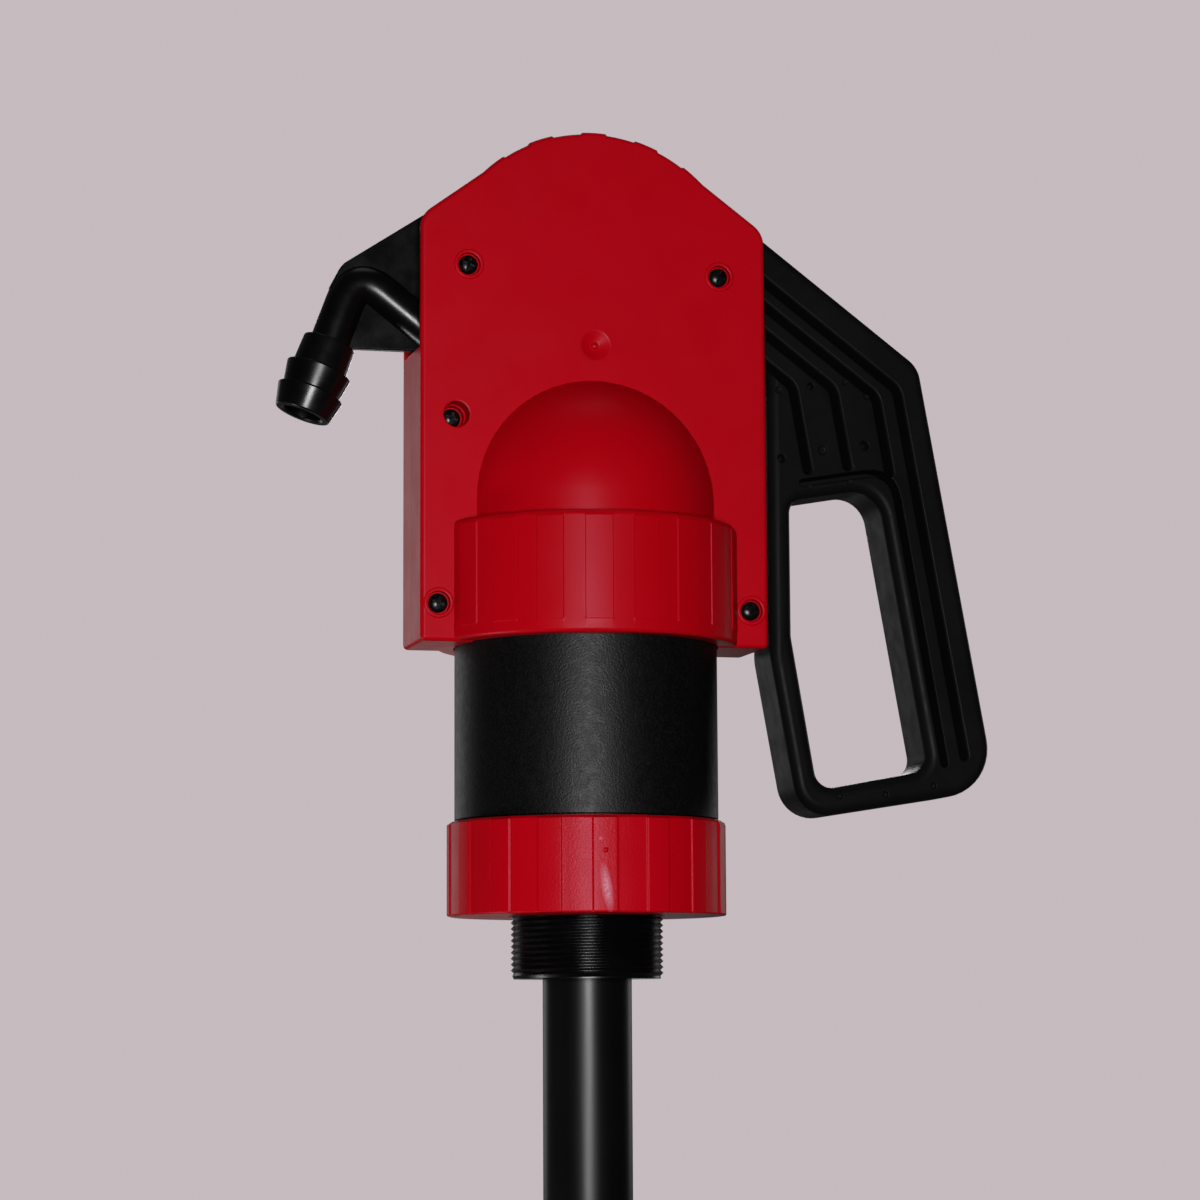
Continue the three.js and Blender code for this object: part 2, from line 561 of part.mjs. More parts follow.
const LOWER_TUBE_RADIUS = 14;
const LOWER_TUBE_TOP = -60;
const lowerTube = () => ring(12, LOWER_TUBE_RADIUS, -496, LOWER_TUBE_TOP, TUBE_ROUND);
const tubeStop = () =>
  ring(LOWER_TUBE_RADIUS + GAP, TUBE_BORE - GAP, LOWER_TUBE_TOP - 10, LOWER_TUBE_TOP, TUBE_ROUND);

function footStrainer() {
  const body = turned([[0, FOOT_BOTTOM], [16.5, FOOT_BOTTOM], [16.5, -490], [14.3, -488],
    [14.3, -496.3], [11.8, -496.3], [11.8, FOOT_BOTTOM + 3], [0, FOOT_BOTTOM + 3]], TUBE_ROUND);
  const slits = evenly(6).map((angle) =>
    block(9, 20, -2.2, 2.2, FOOT_BOTTOM + 4, FOOT_BOTTOM + 14).rotate([0, 0, angle]));
  return cut(body, slits);
}

// ---------------------------------------------------------------- spout
const ELBOW = [-92.4, 252];
const DROP_ANGLE = rad(-110.4);     // direction of the hose tail
const RISE_ANGLE = rad(-37.8);      // direction of the pipe that enters the housing
const PIPE_RADIUS = 7.8;
const SPOUT_BORE = 5.8;
const TAIL_START = 30.2;
const TAIL_END = 61;

const fromElbow = (distance, angle) =>
  [ELBOW[0] + distance * Math.cos(angle), ELBOW[1] + distance * Math.sin(angle)];
const onPort = (r) => [r * Math.cos(PORT_ANGLE), HEAD_DOME_Z + r * Math.sin(PORT_ANGLE)];

function spoutPath(innerEnd, outerEnd) {
  const path = new THREE.CurvePath();
  const at = ([x, z]) => new THREE.Vector3(x, 0, z);
  const bend = [-48, 217.5];
  const line = (a, b) => path.add(new THREE.LineCurve3(at(a), at(b)));
  const curve = (a, b, c) => path.add(new THREE.QuadraticBezierCurve3(at(a), at(b), at(c)));
  line(onPort(innerEnd), onPort(76));
  curve(onPort(76), bend, fromElbow(48, RISE_ANGLE));
  line(fromElbow(48, RISE_ANGLE), fromElbow(13, RISE_ANGLE));
  curve(fromElbow(13, RISE_ANGLE), ELBOW, fromElbow(13, DROP_ANGLE));
  line(fromElbow(13, DROP_ANGLE), fromElbow(outerEnd, DROP_ANGLE));
  return path;
}

function spoutTube(radius, innerEnd, outerEnd) {
  const circle = new THREE.Shape().absarc(0, 0, radius, 0, 2 * Math.PI, false);
  const extrudePath = spoutPath(innerEnd, outerEnd);
  return solid(new THREE.ExtrudeGeometry(circle, { steps: 16, curveSegments: 7, extrudePath }));
}

// Turned about the hose tail's axis; heights run out from the elbow.
const onTailAxis = (body) =>
  body.rotate([0, 90 - (DROP_ANGLE * 180) / Math.PI, 0]).translate(ELBOW[0], 0, ELBOW[1]);

function spout() {
  const web = roundedOutline([
    [-56, 283.2, 4], [-41, 270, 4], [-41, 234, 4], [-58, 221.5, 0],
    [-93.5, 221.5, 0], [-99.5, 238, 0], [-103.6, 245, 3], [-98.3, 255.1, 8],
  ]);
  const tail = turned([[0, TAIL_START], [10.4, TAIL_START], [10.9, 42], [13, 42.2], [11.4, 51.4],
    [13.2, 51.6], [11, TAIL_END], [0, TAIL_END]], SMALL_ROUND);
  const flange = onPortAxis(disc(11.2, 62.6, 66, SMALL_ROUND));
  const body = join([spoutTube(PIPE_RADIUS, 60, 40), slab(web, -2, 2), flange, onTailAxis(tail),
    onPortAxis(disc(SPIGOT_RADIUS, SPIGOT_END, 64, SMALL_ROUND))]);
  const bores = [spoutTube(SPOUT_BORE, SPIGOT_END - 2, TAIL_END - 2),
    onTailAxis(disc(7.6, TAIL_END - 28, TAIL_END + 2, SMALL_ROUND))];
  const bossHole = peg(-51, 253.8, BOSS_RADIUS + GAP, -5, 5);
  return cut(body, [...bores, bossHole]);
}

const spoutSeal = () => onPortAxis(ring(SPIGOT_RADIUS + GAP, 11.2, 60.3, 62.3, SMALL_ROUND));

// ---------------------------------------------------------------- assembly
function group(...children) {
  const parent = new THREE.Group();
  parent.add(...children);
  return parent;
}

const housing = group(
  piece('front_shell', shell(-1), RED),
  piece('back_shell', shell(1), RED),
  ...SCREWS.map(({ name, x, z, seat }) =>
    piece(`shell_screw_${name}`, shellScrew(seat), SCREW_BLACK, [x, seat, z])),
);

const leverGroup = group(
  piece('lever', lever(), BLACK),
  piece('pivot_sleeve', pivotSleeve(), STEEL),
);
leverGroup.position.set(PIVOT[0], 0, PIVOT[1]);

const pistonGroup = group(
  piece('piston_rod', pistonRod(), STEEL),
  piece('rod_pin', rodPin(), STEEL),
  piece('rod_pin_clip_front', pinClip(), STEEL, [0, -12, 0]),
  piece('rod_pin_clip_back', pinClip(), STEEL, [0, 12, 0]),
  piece('piston', piston(), GREY),
  piece('piston_seal', pistonSeal(), RUBBER),
  piece('piston_valve', pistonValve(), RUBBER),
  piece('piston_valve_stop', valveStop(), GREY),
  piece('piston_nut', pistonNut(), STEEL),
);
pistonGroup.position.z = ROD_PIN_TOP;

const pumpBody = group(
  piece('cylinder', cylinder(), BLACK),
  piece('cylinder_head', cylinderHead(), BLACK),
  piece('head_seal', headSeal(), RUBBER),
  piece('rod_seal', rodSeal(), RUBBER),
  piece('gland_nut', glandNut(), GREY),
  piece('upper_nut', upperNut(), RED),
  piece('lower_nut', lowerNut(), RED),
  piece('spout', spout(), BLACK),
  piece('spout_seal', spoutSeal(), RUBBER),
);

const suctionSide = group(
  piece('bung_adapter', bungAdapter(), BLACK),
  piece('adapter_seal', adapterSeal(), RUBBER),
  piece('inlet_valve', inletValve(), RUBBER),
  piece('inlet_valve_cage', inletValveCage(), GREY),
  piece('tube_seal', tubeSeal(), RUBBER),
  piece('suction_tube', suctionTube(), BLACK),
  piece('tube_ferrule', tubeFerrule(), BLACK),
  piece('lock_collar', lockCollar(), RED),
  piece('lower_tube', lowerTube(), BLACK),
  piece('tube_stop', tubeStop(), GREY),
  piece('foot_strainer', footStrainer(), BLACK),
);

export default group(housing, leverGroup, pistonGroup, pumpBody, suctionSide);
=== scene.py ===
import math

import bmesh
import bpy
from mathutils import Matrix, Vector


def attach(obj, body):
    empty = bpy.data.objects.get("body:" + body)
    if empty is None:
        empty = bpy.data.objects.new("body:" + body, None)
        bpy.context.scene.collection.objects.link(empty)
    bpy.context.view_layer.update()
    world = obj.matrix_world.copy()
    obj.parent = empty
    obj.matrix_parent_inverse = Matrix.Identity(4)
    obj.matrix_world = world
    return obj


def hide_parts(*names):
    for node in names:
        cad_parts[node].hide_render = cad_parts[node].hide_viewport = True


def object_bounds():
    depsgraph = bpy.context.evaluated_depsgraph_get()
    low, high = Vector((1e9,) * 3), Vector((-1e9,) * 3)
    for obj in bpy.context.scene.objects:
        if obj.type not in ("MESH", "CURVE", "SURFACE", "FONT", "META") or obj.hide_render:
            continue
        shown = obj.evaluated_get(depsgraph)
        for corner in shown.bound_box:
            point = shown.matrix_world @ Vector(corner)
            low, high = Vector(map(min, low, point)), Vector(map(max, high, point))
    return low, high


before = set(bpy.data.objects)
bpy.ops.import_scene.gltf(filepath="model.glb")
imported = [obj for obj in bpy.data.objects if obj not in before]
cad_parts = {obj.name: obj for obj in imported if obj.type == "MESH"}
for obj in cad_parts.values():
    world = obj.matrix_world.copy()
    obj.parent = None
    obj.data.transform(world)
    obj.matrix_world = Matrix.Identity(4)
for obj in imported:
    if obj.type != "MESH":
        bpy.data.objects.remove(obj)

CAD_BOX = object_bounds()

# A lever-action drum pump. Shapes are drawn in millimetres and made in metres.
# +Z is up the pump axis, the cover with the screws faces -Y, the lever is at +X.
MM = 0.001

# ---- sizes
PLATE_HALF_WIDTH = 70.1
PLATE_HALF_DEPTH = 18.5
HOUSING_BOTTOM = 105.1
WALL = 3.0
SEAM = 0.15
CROWN_Z = 246.5
CROWN_RADIUS = 62.8
CROWN_ANGLE = 36.4
COLLAR_RADIUS = 59.9
COLLAR_TOP = 152.5
DOME_RADIUS = 51.4
DOME_Z = 161.5
PIVOT = (51.0, 253.8)
BOSS_RADIUS = 6.5
NUT_RADIUS = 54.8
NUT_HEIGHT = 36.8
CYLINDER_RADIUS = 51.8
CYLINDER_BORE = 47.9
CAP_RADIUS = 50.2  # the cylinder's ends, its head and the adapter's flange, which the nuts hold
NUT_BORE = 50.5
THREAD_RADIUS = 29.8
THREAD_PITCH = 2.309
THREAD_LENGTH = 24.3
TUBE_RADIUS = 17.4
TUBE_BOTTOM = -455.0
INNER_TUBE_RADIUS = 14.0
SLIDE_RADIUS = 14.3  # the holes that the inner tube slides through
FOOT = -515.0
SHARP = 0.02  # corner radius of a sharp edge
ROUND = 160  # facets round the large turned pieces
ROUND_SMALL = 72  # facets round pins, screws and pipes


def rad(degrees):
    return math.radians(degrees)


def polar(radius, degrees, centre=(0.0, 0.0)):
    return (centre[0] + radius * math.cos(rad(degrees)), centre[1] + radius * math.sin(rad(degrees)))


def arc(centre, radius, start, end, steps):
    return [polar(radius, start + (end - start) * k / steps, centre) for k in range(steps + 1)]


def unit(value):
    """The value held between 0 and 1."""
    return min(max(value, 0.0), 1.0)


def bend(a, b, c, steps):
    """Points on a curve from a to c that leans towards b."""
    a, b, c = Vector(a), Vector(b), Vector(c)
    turns = [k / steps for k in range(steps + 1)]
    return [a * (1 - t) ** 2 + b * 2 * t * (1 - t) + c * t ** 2 for t in turns]


# ---- mesh tools
def new_object(name, verts, faces):
    """A mesh object from millimetre points, welded and with its faces pointing out."""
    mesh = bpy.data.meshes.new(name)
    mesh.from_pydata([Vector(v) * MM for v in verts], [], faces)
    work = bmesh.new()
    work.from_mesh(mesh)
    bmesh.ops.remove_doubles(work, verts=work.verts, dist=1e-7)
    bmesh.ops.dissolve_degenerate(work, edges=work.edges, dist=1e-8)
    bmesh.ops.recalc_face_normals(work, faces=work.faces)
    if work.calc_volume(signed=True) < 0:
        bmesh.ops.reverse_faces(work, faces=work.faces)
    work.to_mesh(mesh)
    work.free()
    obj = bpy.data.objects.new(name, mesh)
    bpy.context.scene.collection.objects.link(obj)
    return obj


def loft(name, rings, capped=True, looped=False):
    """Skins a row of rings that have the same number of points."""
    count, last = len(rings[0]), len(rings) - 1
    faces = []
    for a in range(last + 1 if looped else last):
        b = (a + 1) % len(rings)
        for i in range(count):
            j = (i + 1) % count
            faces.append((a * count + i, a * count + j, b * count + j, b * count + i))
    if capped and not looped:
        faces.append(tuple(range(count)))
        faces.append(tuple(last * count + i for i in range(count)))
    return new_object(name, [p for ring in rings for p in ring], faces)


def rounded(corners, inset=0.0, steps=6):
    """Points round a counterclockwise outline of (x, y, radius) corners, moved inwards by inset."""
    points = []
    for i, (x, y, radius) in enumerate(corners):
        here = Vector((x, y))
        before = Vector(corners[i - 1][:2])
        after = Vector(corners[(i + 1) % len(corners)][:2])
        d1, d2 = (here - before).normalized(), (after - here).normalized()
        n1, n2 = Vector((-d1.y, d1.x)), Vector((-d2.y, d2.x))
        turn = math.atan2(d1.x * d2.y - d1.y * d2.x, d1.dot(d2))
        side = 1 if turn > 0 else -1
        corner = here + (n1 + n2) * (inset / (1 + n1.dot(n2)))
        r = max(radius - side * inset, SHARP)
        start = corner - d1 * (r * math.tan(abs(turn) / 2))
        centre = start + n1 * (r * side)
        arm = start - centre
        for k in range(steps + 1):
            a = turn * k / steps
            points.append((centre.x + arm.x * math.cos(a) - arm.y * math.sin(a),
                           centre.y + arm.x * math.sin(a) + arm.y * math.cos(a)))
    return points


def fillet_steps(fillet, steps=5):
    """(inset, depth) pairs round a quarter circle, from the face to the side."""
    for k in range(steps + 1):
        a = rad(90 * k / steps)
        yield fillet * (1 - math.sin(a)), fillet * (1 - math.cos(a))


def rims(y0, y1, fillet):
    """(inset, y) pairs for a plate with rounded rims, from its face at y0 to its face at y1."""
    steps = list(fillet_steps(fillet))
    near = [(inset, y0 + depth) for inset, depth in steps]
    return near + [(inset, y1 - depth) for inset, depth in reversed(steps)]


def extruded(name, outline, rings):
    """Skins outline(inset), which gives XZ points, at each (inset, y) pair."""
    return loft(name, [[(x, y, z) for x, z in outline(inset)] for inset, y in rings])


def slab(name, outline, y0, y1, fillet):
    """A plate between two Y planes, with rounded rims."""
    return extruded(name, outline, rims(y0, y1, fillet))


def plug(name, outline, y0, y1, fillet):
    """A cutter for a hole through a plate, which rounds the hole's rims."""
    rings = [(-inset, y) for inset, y in rims(y0, y1, fillet)]
    return extruded(name, outline, [(-fillet, y0 - 1), *rings, (-fillet, y1 + 1)])


def spun(name, points, facets=ROUND):
    """A ring about Z whose section is a closed row of (radius, height) points."""
    rings = []
    for k in range(facets):
        c, s = polar(1, 360 * k / facets)
        rings.append([(r * c, r * s, z) for r, z in points])
    return loft(name, rings, looped=True)


def turned(name, profile, facets=ROUND, steps=4):
    """Turns a closed (radius, height, corner radius) profile about Z."""
    corners = list(profile)
    if sum(a[0] * b[1] - b[0] * a[1] for a, b in zip(corners, corners[1:] + corners[:1])) < 0:
        corners.reverse()
    return spun(name, [(max(r, 0), z) for r, z in rounded(corners, 0, steps)], facets)


def peg(name, radius, z0, z1, facets=96, low=0.0, high=0.0):
    """A turned peg with its bottom and top corners rounded by low and high."""
    return turned(name, [(0, z0, 0), (radius, z0, low), (radius, z1, high), (0, z1, 0)], facets)


def washer(name, inner, outer, z0, z1, edge=0.3):
    facets = ROUND if outer > 20 else ROUND_SMALL
    profile = [(inner, z0, edge), (outer, z0, edge), (outer, z1, edge), (inner, z1, edge)]
    return turned(name, profile, facets, 3)


def stacked(name, profile, capped=True):
    """A solid about Z with a ring of points at each (radius, height) pair."""
    rings = []
    for radius, z in profile:
        rings.append([(*polar(radius, 360 * k / ROUND), z) for k in range(ROUND)])
    return loft(name, rings, capped)


def rod(name, x, z, radius, y0, y1, facets=ROUND_SMALL, end_radius=None):
    """A straight peg along Y, tapered if end_radius is given."""
    end = radius if end_radius is None else end_radius
    rings = []
    for r, y in ((radius, y0), (end, y1)):
        ring = [polar(r, 360 * i / facets, (x, z)) for i in range(facets)]
        rings.append([(px, y, pz) for px, pz in ring])
    return loft(name, rings)


def box(name, x0, x1, y0, y1, z0, z1):
    return loft(name, [[(x0, y, z0), (x1, y, z0), (x1, y, z1), (x0, y, z1)] for y in (y0, y1)])


def circle_outline(centre, radius, facets=96):
    return lambda inset=0.0: [polar(radius - inset, -360 * k / facets, centre) for k in range(facets)]


def drilled(name, centre, steps, facets=96):
    """A solid about an axis along Y with a ring of points at each (radius, y) pair."""
    return loft(name, [[(x, y, z) for x, z in circle_outline(centre, r, facets)()] for r, y in steps])


def combine(obj, others, operation="UNION"):
    """Joins others to obj or cuts them from it, and removes them."""
    for other in others:
        modifier = obj.modifiers.new("combine", "BOOLEAN")
        modifier.operation = operation
        modifier.solver = "MANIFOLD"
        modifier.object = other
        depsgraph = bpy.context.evaluated_depsgraph_get()
        mesh = bpy.data.meshes.new_from_object(obj.evaluated_get(depsgraph))
        obj.modifiers.clear()
        obj.data = mesh
        bpy.data.objects.remove(other)
    return obj


def cut(obj, others):
    return combine(obj, others, "DIFFERENCE")


def place(obj, matrix):
    obj.data.transform(matrix)
    return obj


def rotate(obj, degrees, axis):
    return place(obj, Matrix.Rotation(rad(degrees), 4, axis))


def move(obj, x=0.0, y=0.0, z=0.0):
    return place(obj, Matrix.Translation(Vector((x, y, z)) * MM))


def finish_piece(obj, material, body, node, sharp=32):
    """Shading, material, body and the CAD node that the piece stands for."""
    mesh = obj.data
    mesh.shade_smooth()
    mesh.set_sharp_from_angle(angle=rad(sharp))
    weighted = obj.modifiers.new("weighted normals", "WEIGHTED_NORMAL")
    weighted.keep_sharp = True
    mesh.materials.clear()
    mesh.materials.append(material)
    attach(obj, body)
    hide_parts(node)


def srgb(r, g, b):
    def linear(c):
        return c / 12.92 if c <= 0.04045 else ((c + 0.055) / 1.055) ** 2.4
    return (linear(r), linear(g), linear(b), 1.0)


def grey(value):
    return srgb(value, value, value)


def set_inputs(node, values):
    for name, value in dict(values).items():
        node.inputs[name].default_value = value
    return node


def add_node(tree, kind, values=()):
    """A new shader node with some of its inputs set by name."""
    return set_inputs(tree.nodes.new("ShaderNode" + kind), values)


class Surface:
    """A Principled material whose colour, roughness and bump come from noise in object space."""

    def __init__(self, name, roughness, metallic=0.0, specular=0.5):
        self.material = bpy.data.materials.new(name)
        self.material.use_nodes = True
        self.tree = self.material.node_tree
        self.shader = self.tree.nodes["Principled BSDF"]
        set_inputs(self.shader, {"Metallic": metallic, "Specular IOR Level": specular,
                                 "Roughness": roughness})
        self.coords = self.node("TexCoord").outputs["Object"]
        self.height = None

    def node(self, kind, values=()):
        return add_node(self.tree, kind, values)

    def link(self, output, socket):
        self.tree.links.new(output, socket)

    def noise(self, scale, detail, stretch=(1, 1, 1)):
        mapping = self.node("Mapping", {"Scale": stretch})
        node = self.node("TexNoise", {"Scale": scale, "Detail": detail, "Roughness": 0.55})
        self.link(self.coords, mapping.inputs["Vector"])
        self.link(mapping.outputs["Vector"], node.inputs["Vector"])
        return node.outputs["Fac"]

    def spread(self, value, low, high, at=(0.3, 0.7)):
        """Maps a value's range at onto low to high."""
        node = self.node("MapRange", {"From Min": at[0], "From Max": at[1], "To Min": low, "To Max": high})
        self.link(value, node.inputs["Value"])
        return node.outputs["Result"]

    def colour(self, value, low, high, at=(0.3, 0.7)):
        node = self.node("ValToRGB")
        for element, position, colour in zip(node.color_ramp.elements, at, (low, high)):
            element.position = position
            element.color = colour
        self.link(value, node.inputs["Fac"])
        self.link(node.outputs["Color"], self.shader.inputs["Base Color"])

    def patch(self, centre, size, tilt, colour):
        """A soft oval patch of another colour; centre and half size in millimetres."""
        mapping = self.node("Mapping", {"Location": Vector(centre) * MM, "Rotation": (0, rad(-tilt), 0),
                                        "Scale": Vector(size) * MM})
        mapping.vector_type = "TEXTURE"
        self.link(self.coords, mapping.inputs["Vector"])
        distance = self.node("VectorMath")
        distance.operation = "LENGTH"
        self.link(mapping.outputs["Vector"], distance.inputs[0])
        grain = self.node("Math")
        grain.operation = "MULTIPLY"
        self.link(self.spread(distance.outputs["Value"], 0.75, 0.0, (0.1, 1.0)), grain.inputs[0])
        self.link(self.spread(self.noise(1500, 3), 0.3, 1.0), grain.inputs[1])
        mix = self.node("Mix")
        mix.data_type = "RGBA"
        base = self.shader.inputs["Base Color"]
        self.link(grain.outputs["Value"], mix.inputs["Factor"])
        self.link(base.links[0].from_socket, mix.inputs["A"])
        mix.inputs["B"].default_value = colour
        self.link(mix.outputs["Result"], base)
        return self

    def rough(self, value, low, high):
        self.link(self.spread(value, low, high), self.shader.inputs["Roughness"])

    def bump(self, value, depth_mm, strength=1.0):
        node = self.node("Bump", {"Distance": depth_mm * MM, "Strength": strength})
        self.link(value, node.inputs["Height"])
        if self.height is not None:
            self.link(self.height, node.inputs["Normal"])
        self.height = node.outputs["Normal"]
        self.link(self.height, self.shader.inputs["Normal"])
        return self


def red_moulding(name="red_moulding"):
    s = Surface(name, 0.36, specular=0.125)
    set_inputs(s.shader, {"Specular Tint": (1.0, 0.74, 1.0, 1.0)})
    s.colour(s.noise(9, 2), srgb(0.72, 0.004, 0.058), srgb(0.75, 0.006, 0.078))
    s.rough(s.noise(60, 4), 0.33, 0.40)
    s.bump(s.noise(1100, 2), 0.03, 0.5)
    return s.bump(s.noise(45, 2), 0.12, 0.2)


def red_moulding_painted_highlight():
    """The nut's plastic, with a painted highlight: a pale streak painted on the pad below its gate, where
    the highlight falls, and a small pale dot painted above the gate.
    """
    s = red_moulding("red_moulding_painted_highlight")
    s.bump(s.noise(1200, 2), 0.12, 0.8)
    # painted highlight: a pale streak on the pad below the gate, where the highlight falls
    s.patch((-5.9, -54.4, 9.3), (2.3, 9.0, 10.0), 9, srgb(0.95, 0.72, 0.8))
    # a small pale dot painted above the gate
    return s.patch((-8.2, -54.4, 27.7), (0.9, 9.0, 0.9), 0, srgb(0.9, 0.55, 0.6))


def lever_moulding():
    s = Surface("lever_moulding", 0.45, specular=0.055)
    s.colour(s.noise(30, 4), grey(0.056), grey(0.076))
    s.rough(s.noise(140, 5), 0.36, 0.48)
    s.bump(s.noise(1200, 2), 0.04, 0.4)
    return s.bump(s.noise(60, 3), 0.15, 0.25).material


def black_moulding():
    s = Surface("black_moulding", 0.28, specular=0.3)
    s.colour(s.noise(40, 3), grey(0.02), grey(0.04))
    s.rough(s.noise(120, 4), 0.2, 0.32)
    s.bump(s.noise(900, 2), 0.02, 0.3)
    return s.bump(s.noise(70, 2), 0.1, 0.2).material


def cylinder_grain():
    s = Surface("cylinder_grain", 0.5, specular=0.21)
    s.colour(s.noise(1300, 2), grey(0.02), srgb(0.08, 0.08, 0.084), (0.45, 0.75))
    s.rough(s.noise(300, 3), 0.38, 0.48)
    return s.bump(s.noise(1300, 2), 0.14, 0.9).material


def pipe_plastic():
    s = Surface("pipe_plastic", 0.32, specular=0.25)
    s.colour(s.noise(25, 3), srgb(0.03, 0.03, 0.032), srgb(0.05, 0.05, 0.054))
    s.rough(s.noise(160, 4, (1, 1, 0.06)), 0.29, 0.37)
    s.bump(s.noise(320, 3, (1, 1, 0.02)), 0.05, 0.35)
    return s.bump(s.noise(900, 2), 0.02, 0.3).material


def acetal():
    s = Surface("acetal", 0.45)
    s.colour(s.noise(20, 3), srgb(0.72, 0.72, 0.7), srgb(0.8, 0.8, 0.78))
    s.rough(s.noise(150, 4), 0.38, 0.5)
    return s.bump(s.noise(500, 2), 0.03, 0.3).material


def nitrile():
    s = Surface("nitrile", 0.7, specular=0.3)
    s.colour(s.noise(60, 4), grey(0.07), srgb(0.11, 0.11, 0.108))
    s.rough(s.noise(200, 4), 0.6, 0.8)
    return s.bump(s.noise(900, 3), 0.04, 0.4).material


def ground_steel():
    s = Surface("ground_steel", 0.25, metallic=1.0)
    s.colour(s.noise(15, 3), srgb(0.74, 0.74, 0.75), srgb(0.84, 0.84, 0.85))
    s.rough(s.noise(400, 4, (1, 1, 0.1)), 0.18, 0.32)
    return s.bump(s.noise(1500, 2, (1, 1, 0.15)), 0.01, 0.3).material


def black_oxide():
    s = Surface("black_oxide", 0.3, metallic=0.85)
    s.colour(s.noise(300, 3), grey(0.10), grey(0.19))
    s.rough(s.noise(700, 3), 0.2, 0.36)
    return s.bump(s.noise(2500, 2), 0.02, 0.4).material


RED = red_moulding().material
RED_NUT = red_moulding_painted_highlight().material
LEVER = lever_moulding()
BLACK = black_moulding()
GRAIN = cylinder_grain()
PIPE = pipe_plastic()
ACETAL = acetal()
RUBBER = nitrile()
STEEL = ground_steel()
OXIDE = black_oxide()


# ---- housing
SCREWS = {  # x, z, height of the head's seat in Y
    "upper_left": (-51.0, 253.8, -16.3),
    "upper_right": (PIVOT[0], PIVOT[1], -16.3),
    "lower_left": (-63.0, 119.9, -16.3),
    "lower_right": (63.0, 119.9, -16.3),
    "side_left": (-55.9, 194.1, -6.5),
}
LIPPED_SEAT = -12.0  # a seat nearer the front than this has a raised lip round its hole
SHANK_HOLE = 2.3
RECESS_RADIUS = 4.4
DEEP_MOUTH_RADIUS = 5.0
DEEP_MOUTH_END = -11.0
LIP_RADIUS = 6.0
LIP_HEIGHT = 0.7
LIP_FRONT = -PLATE_HALF_DEPTH - LIP_HEIGHT
LIP_ROOT = -PLATE_HALF_DEPTH + 2.0
CROWN_PADS = (-40, -20, 0, 20, 40)
PAD_HALF = 4.6  # degrees
PAD_RAMP = 0.35
PAD_RISE = 0.7
PAD_END = 0.3  # half the height over which the collar's and the nut's pads end
PAD_LIMIT = 44.9  # where the outer pads run into the shoulders
WINDOW_X = 46.0
SPOUT_WINDOW = 220.8
LEVER_WINDOW = 215.0
SHOULDER_FILLET = 10.0


def crown_point(turn, inset):
    """A point of the crown at an angle from its top; raised pads, then the straight shoulders."""
    gap = min(abs(turn - pad) for pad in CROWN_PADS)
    rise = PAD_RISE * unit((PAD_HALF + PAD_RAMP - gap) / (2 * PAD_RAMP))
    crown = CROWN_RADIUS - inset
    shoulder = crown / math.cos(rad(max(abs(turn) - CROWN_ANGLE, 0)))
    return polar(max(crown + rise, shoulder), 90 - turn, (0, CROWN_Z))


def crown_turns():
    turns = {float(turn) for turn in range(-44, 45, 2)} | {-PAD_LIMIT, PAD_LIMIT}
    for pad in CROWN_PADS:
        for edge in (PAD_HALF - PAD_RAMP, PAD_HALF + PAD_RAMP):
            turns |= {pad - edge, pad + edge}
    return sorted((turn for turn in turns if abs(turn) <= PAD_LIMIT), reverse=True)


def housing_outline(inset=0.0):
    """Points round the housing in XZ, counterclockwise from the lower right corner."""
    side, bottom = PLATE_HALF_WIDTH - inset, HOUSING_BOTTOM + inset
    slope = 90 - CROWN_ANGLE
    crown, fillet = CROWN_RADIUS - inset, SHOULDER_FILLET - inset
    reach = CROWN_Z * math.sin(rad(slope)) + crown - fillet
    fx = side - fillet
    fz = (reach - math.cos(rad(slope)) * fx) / math.sin(rad(slope))
    foot = max(2.0 - inset, SHARP)
    return (arc((side - foot, bottom + foot), foot, 270, 360, 4) + arc((fx, fz), fillet, 0, slope, 10)
            + [crown_point(turn, inset) for turn in crown_turns()]
            + arc((-fx, fz), fillet, 180 - slope, 180, 10)
            + arc((-side + foot, bottom + foot), foot, 180, 270, 4))


def pad_mask(angle, centres, half_width, ramp):
    """1 on a raised pad, 0 between pads, with a short ramp at each edge."""
    gap = min(abs((angle - c + 180) % 360 - 180) for c in centres)
    t = unit((half_width + ramp - gap) / (2 * ramp))
    return t * t * (3 - 2 * t)


def fluted(name, profile, centres, half_width, step, z_range, outer, ramp=0.45):
    """A turned piece with raised pads on its outer face between two heights."""
    low, high = z_range
    angles = {3.0 * k for k in range(120)}
    for c in centres:
        for part in (-1, -0.5, 0, 0.5, 1):
            edge = half_width + part * ramp
            angles |= {round((c - edge) % 360, 3), round((c + edge) % 360, 3)}
    outline = rounded(profile, 0, 5)
    dense = []
    for point, after in zip(outline, outline[1:] + outline[:1]):
        dense.append(point)
        bottom, top = sorted((point[1], after[1]))
        if min(point[0], after[0]) > outer - 0.05 and top - bottom > 4:
            marks = [(point[0], z + d) for z in z_range for d in (-0.4, 0, 0.4) if bottom < z + d < top]
            dense += marks if after[1] > point[1] else reversed(marks)
    rings = []
    for angle in sorted(angles):
        mask = pad_mask(angle, centres, half_width, ramp)
        ring = []
        for r, z in dense:
            rise = unit((z - low + PAD_END) / (2 * PAD_END)) * unit((high - z + PAD_END) / (2 * PAD_END))
            grown = r + (step * mask * rise if r > outer - 0.6 else 0)
            ring.append((grown * math.sin(rad(angle)), -grown * math.cos(rad(angle)), z))
        rings.append(ring)
    return loft(name, rings, looped=True)


def dome(name, radius, bottom):
    """A solid cylinder with a hemispherical top."""
    side = arc((0.0, DOME_Z), radius, 0, 90, 18)[:-1]
    return stacked(name, [(0.0, bottom), (radius, bottom), *side, (0.0, DOME_Z + radius)], False)


def disc(name, radius, z0, z1):
    return stacked(name, [(radius, z0), (radius, z1)])


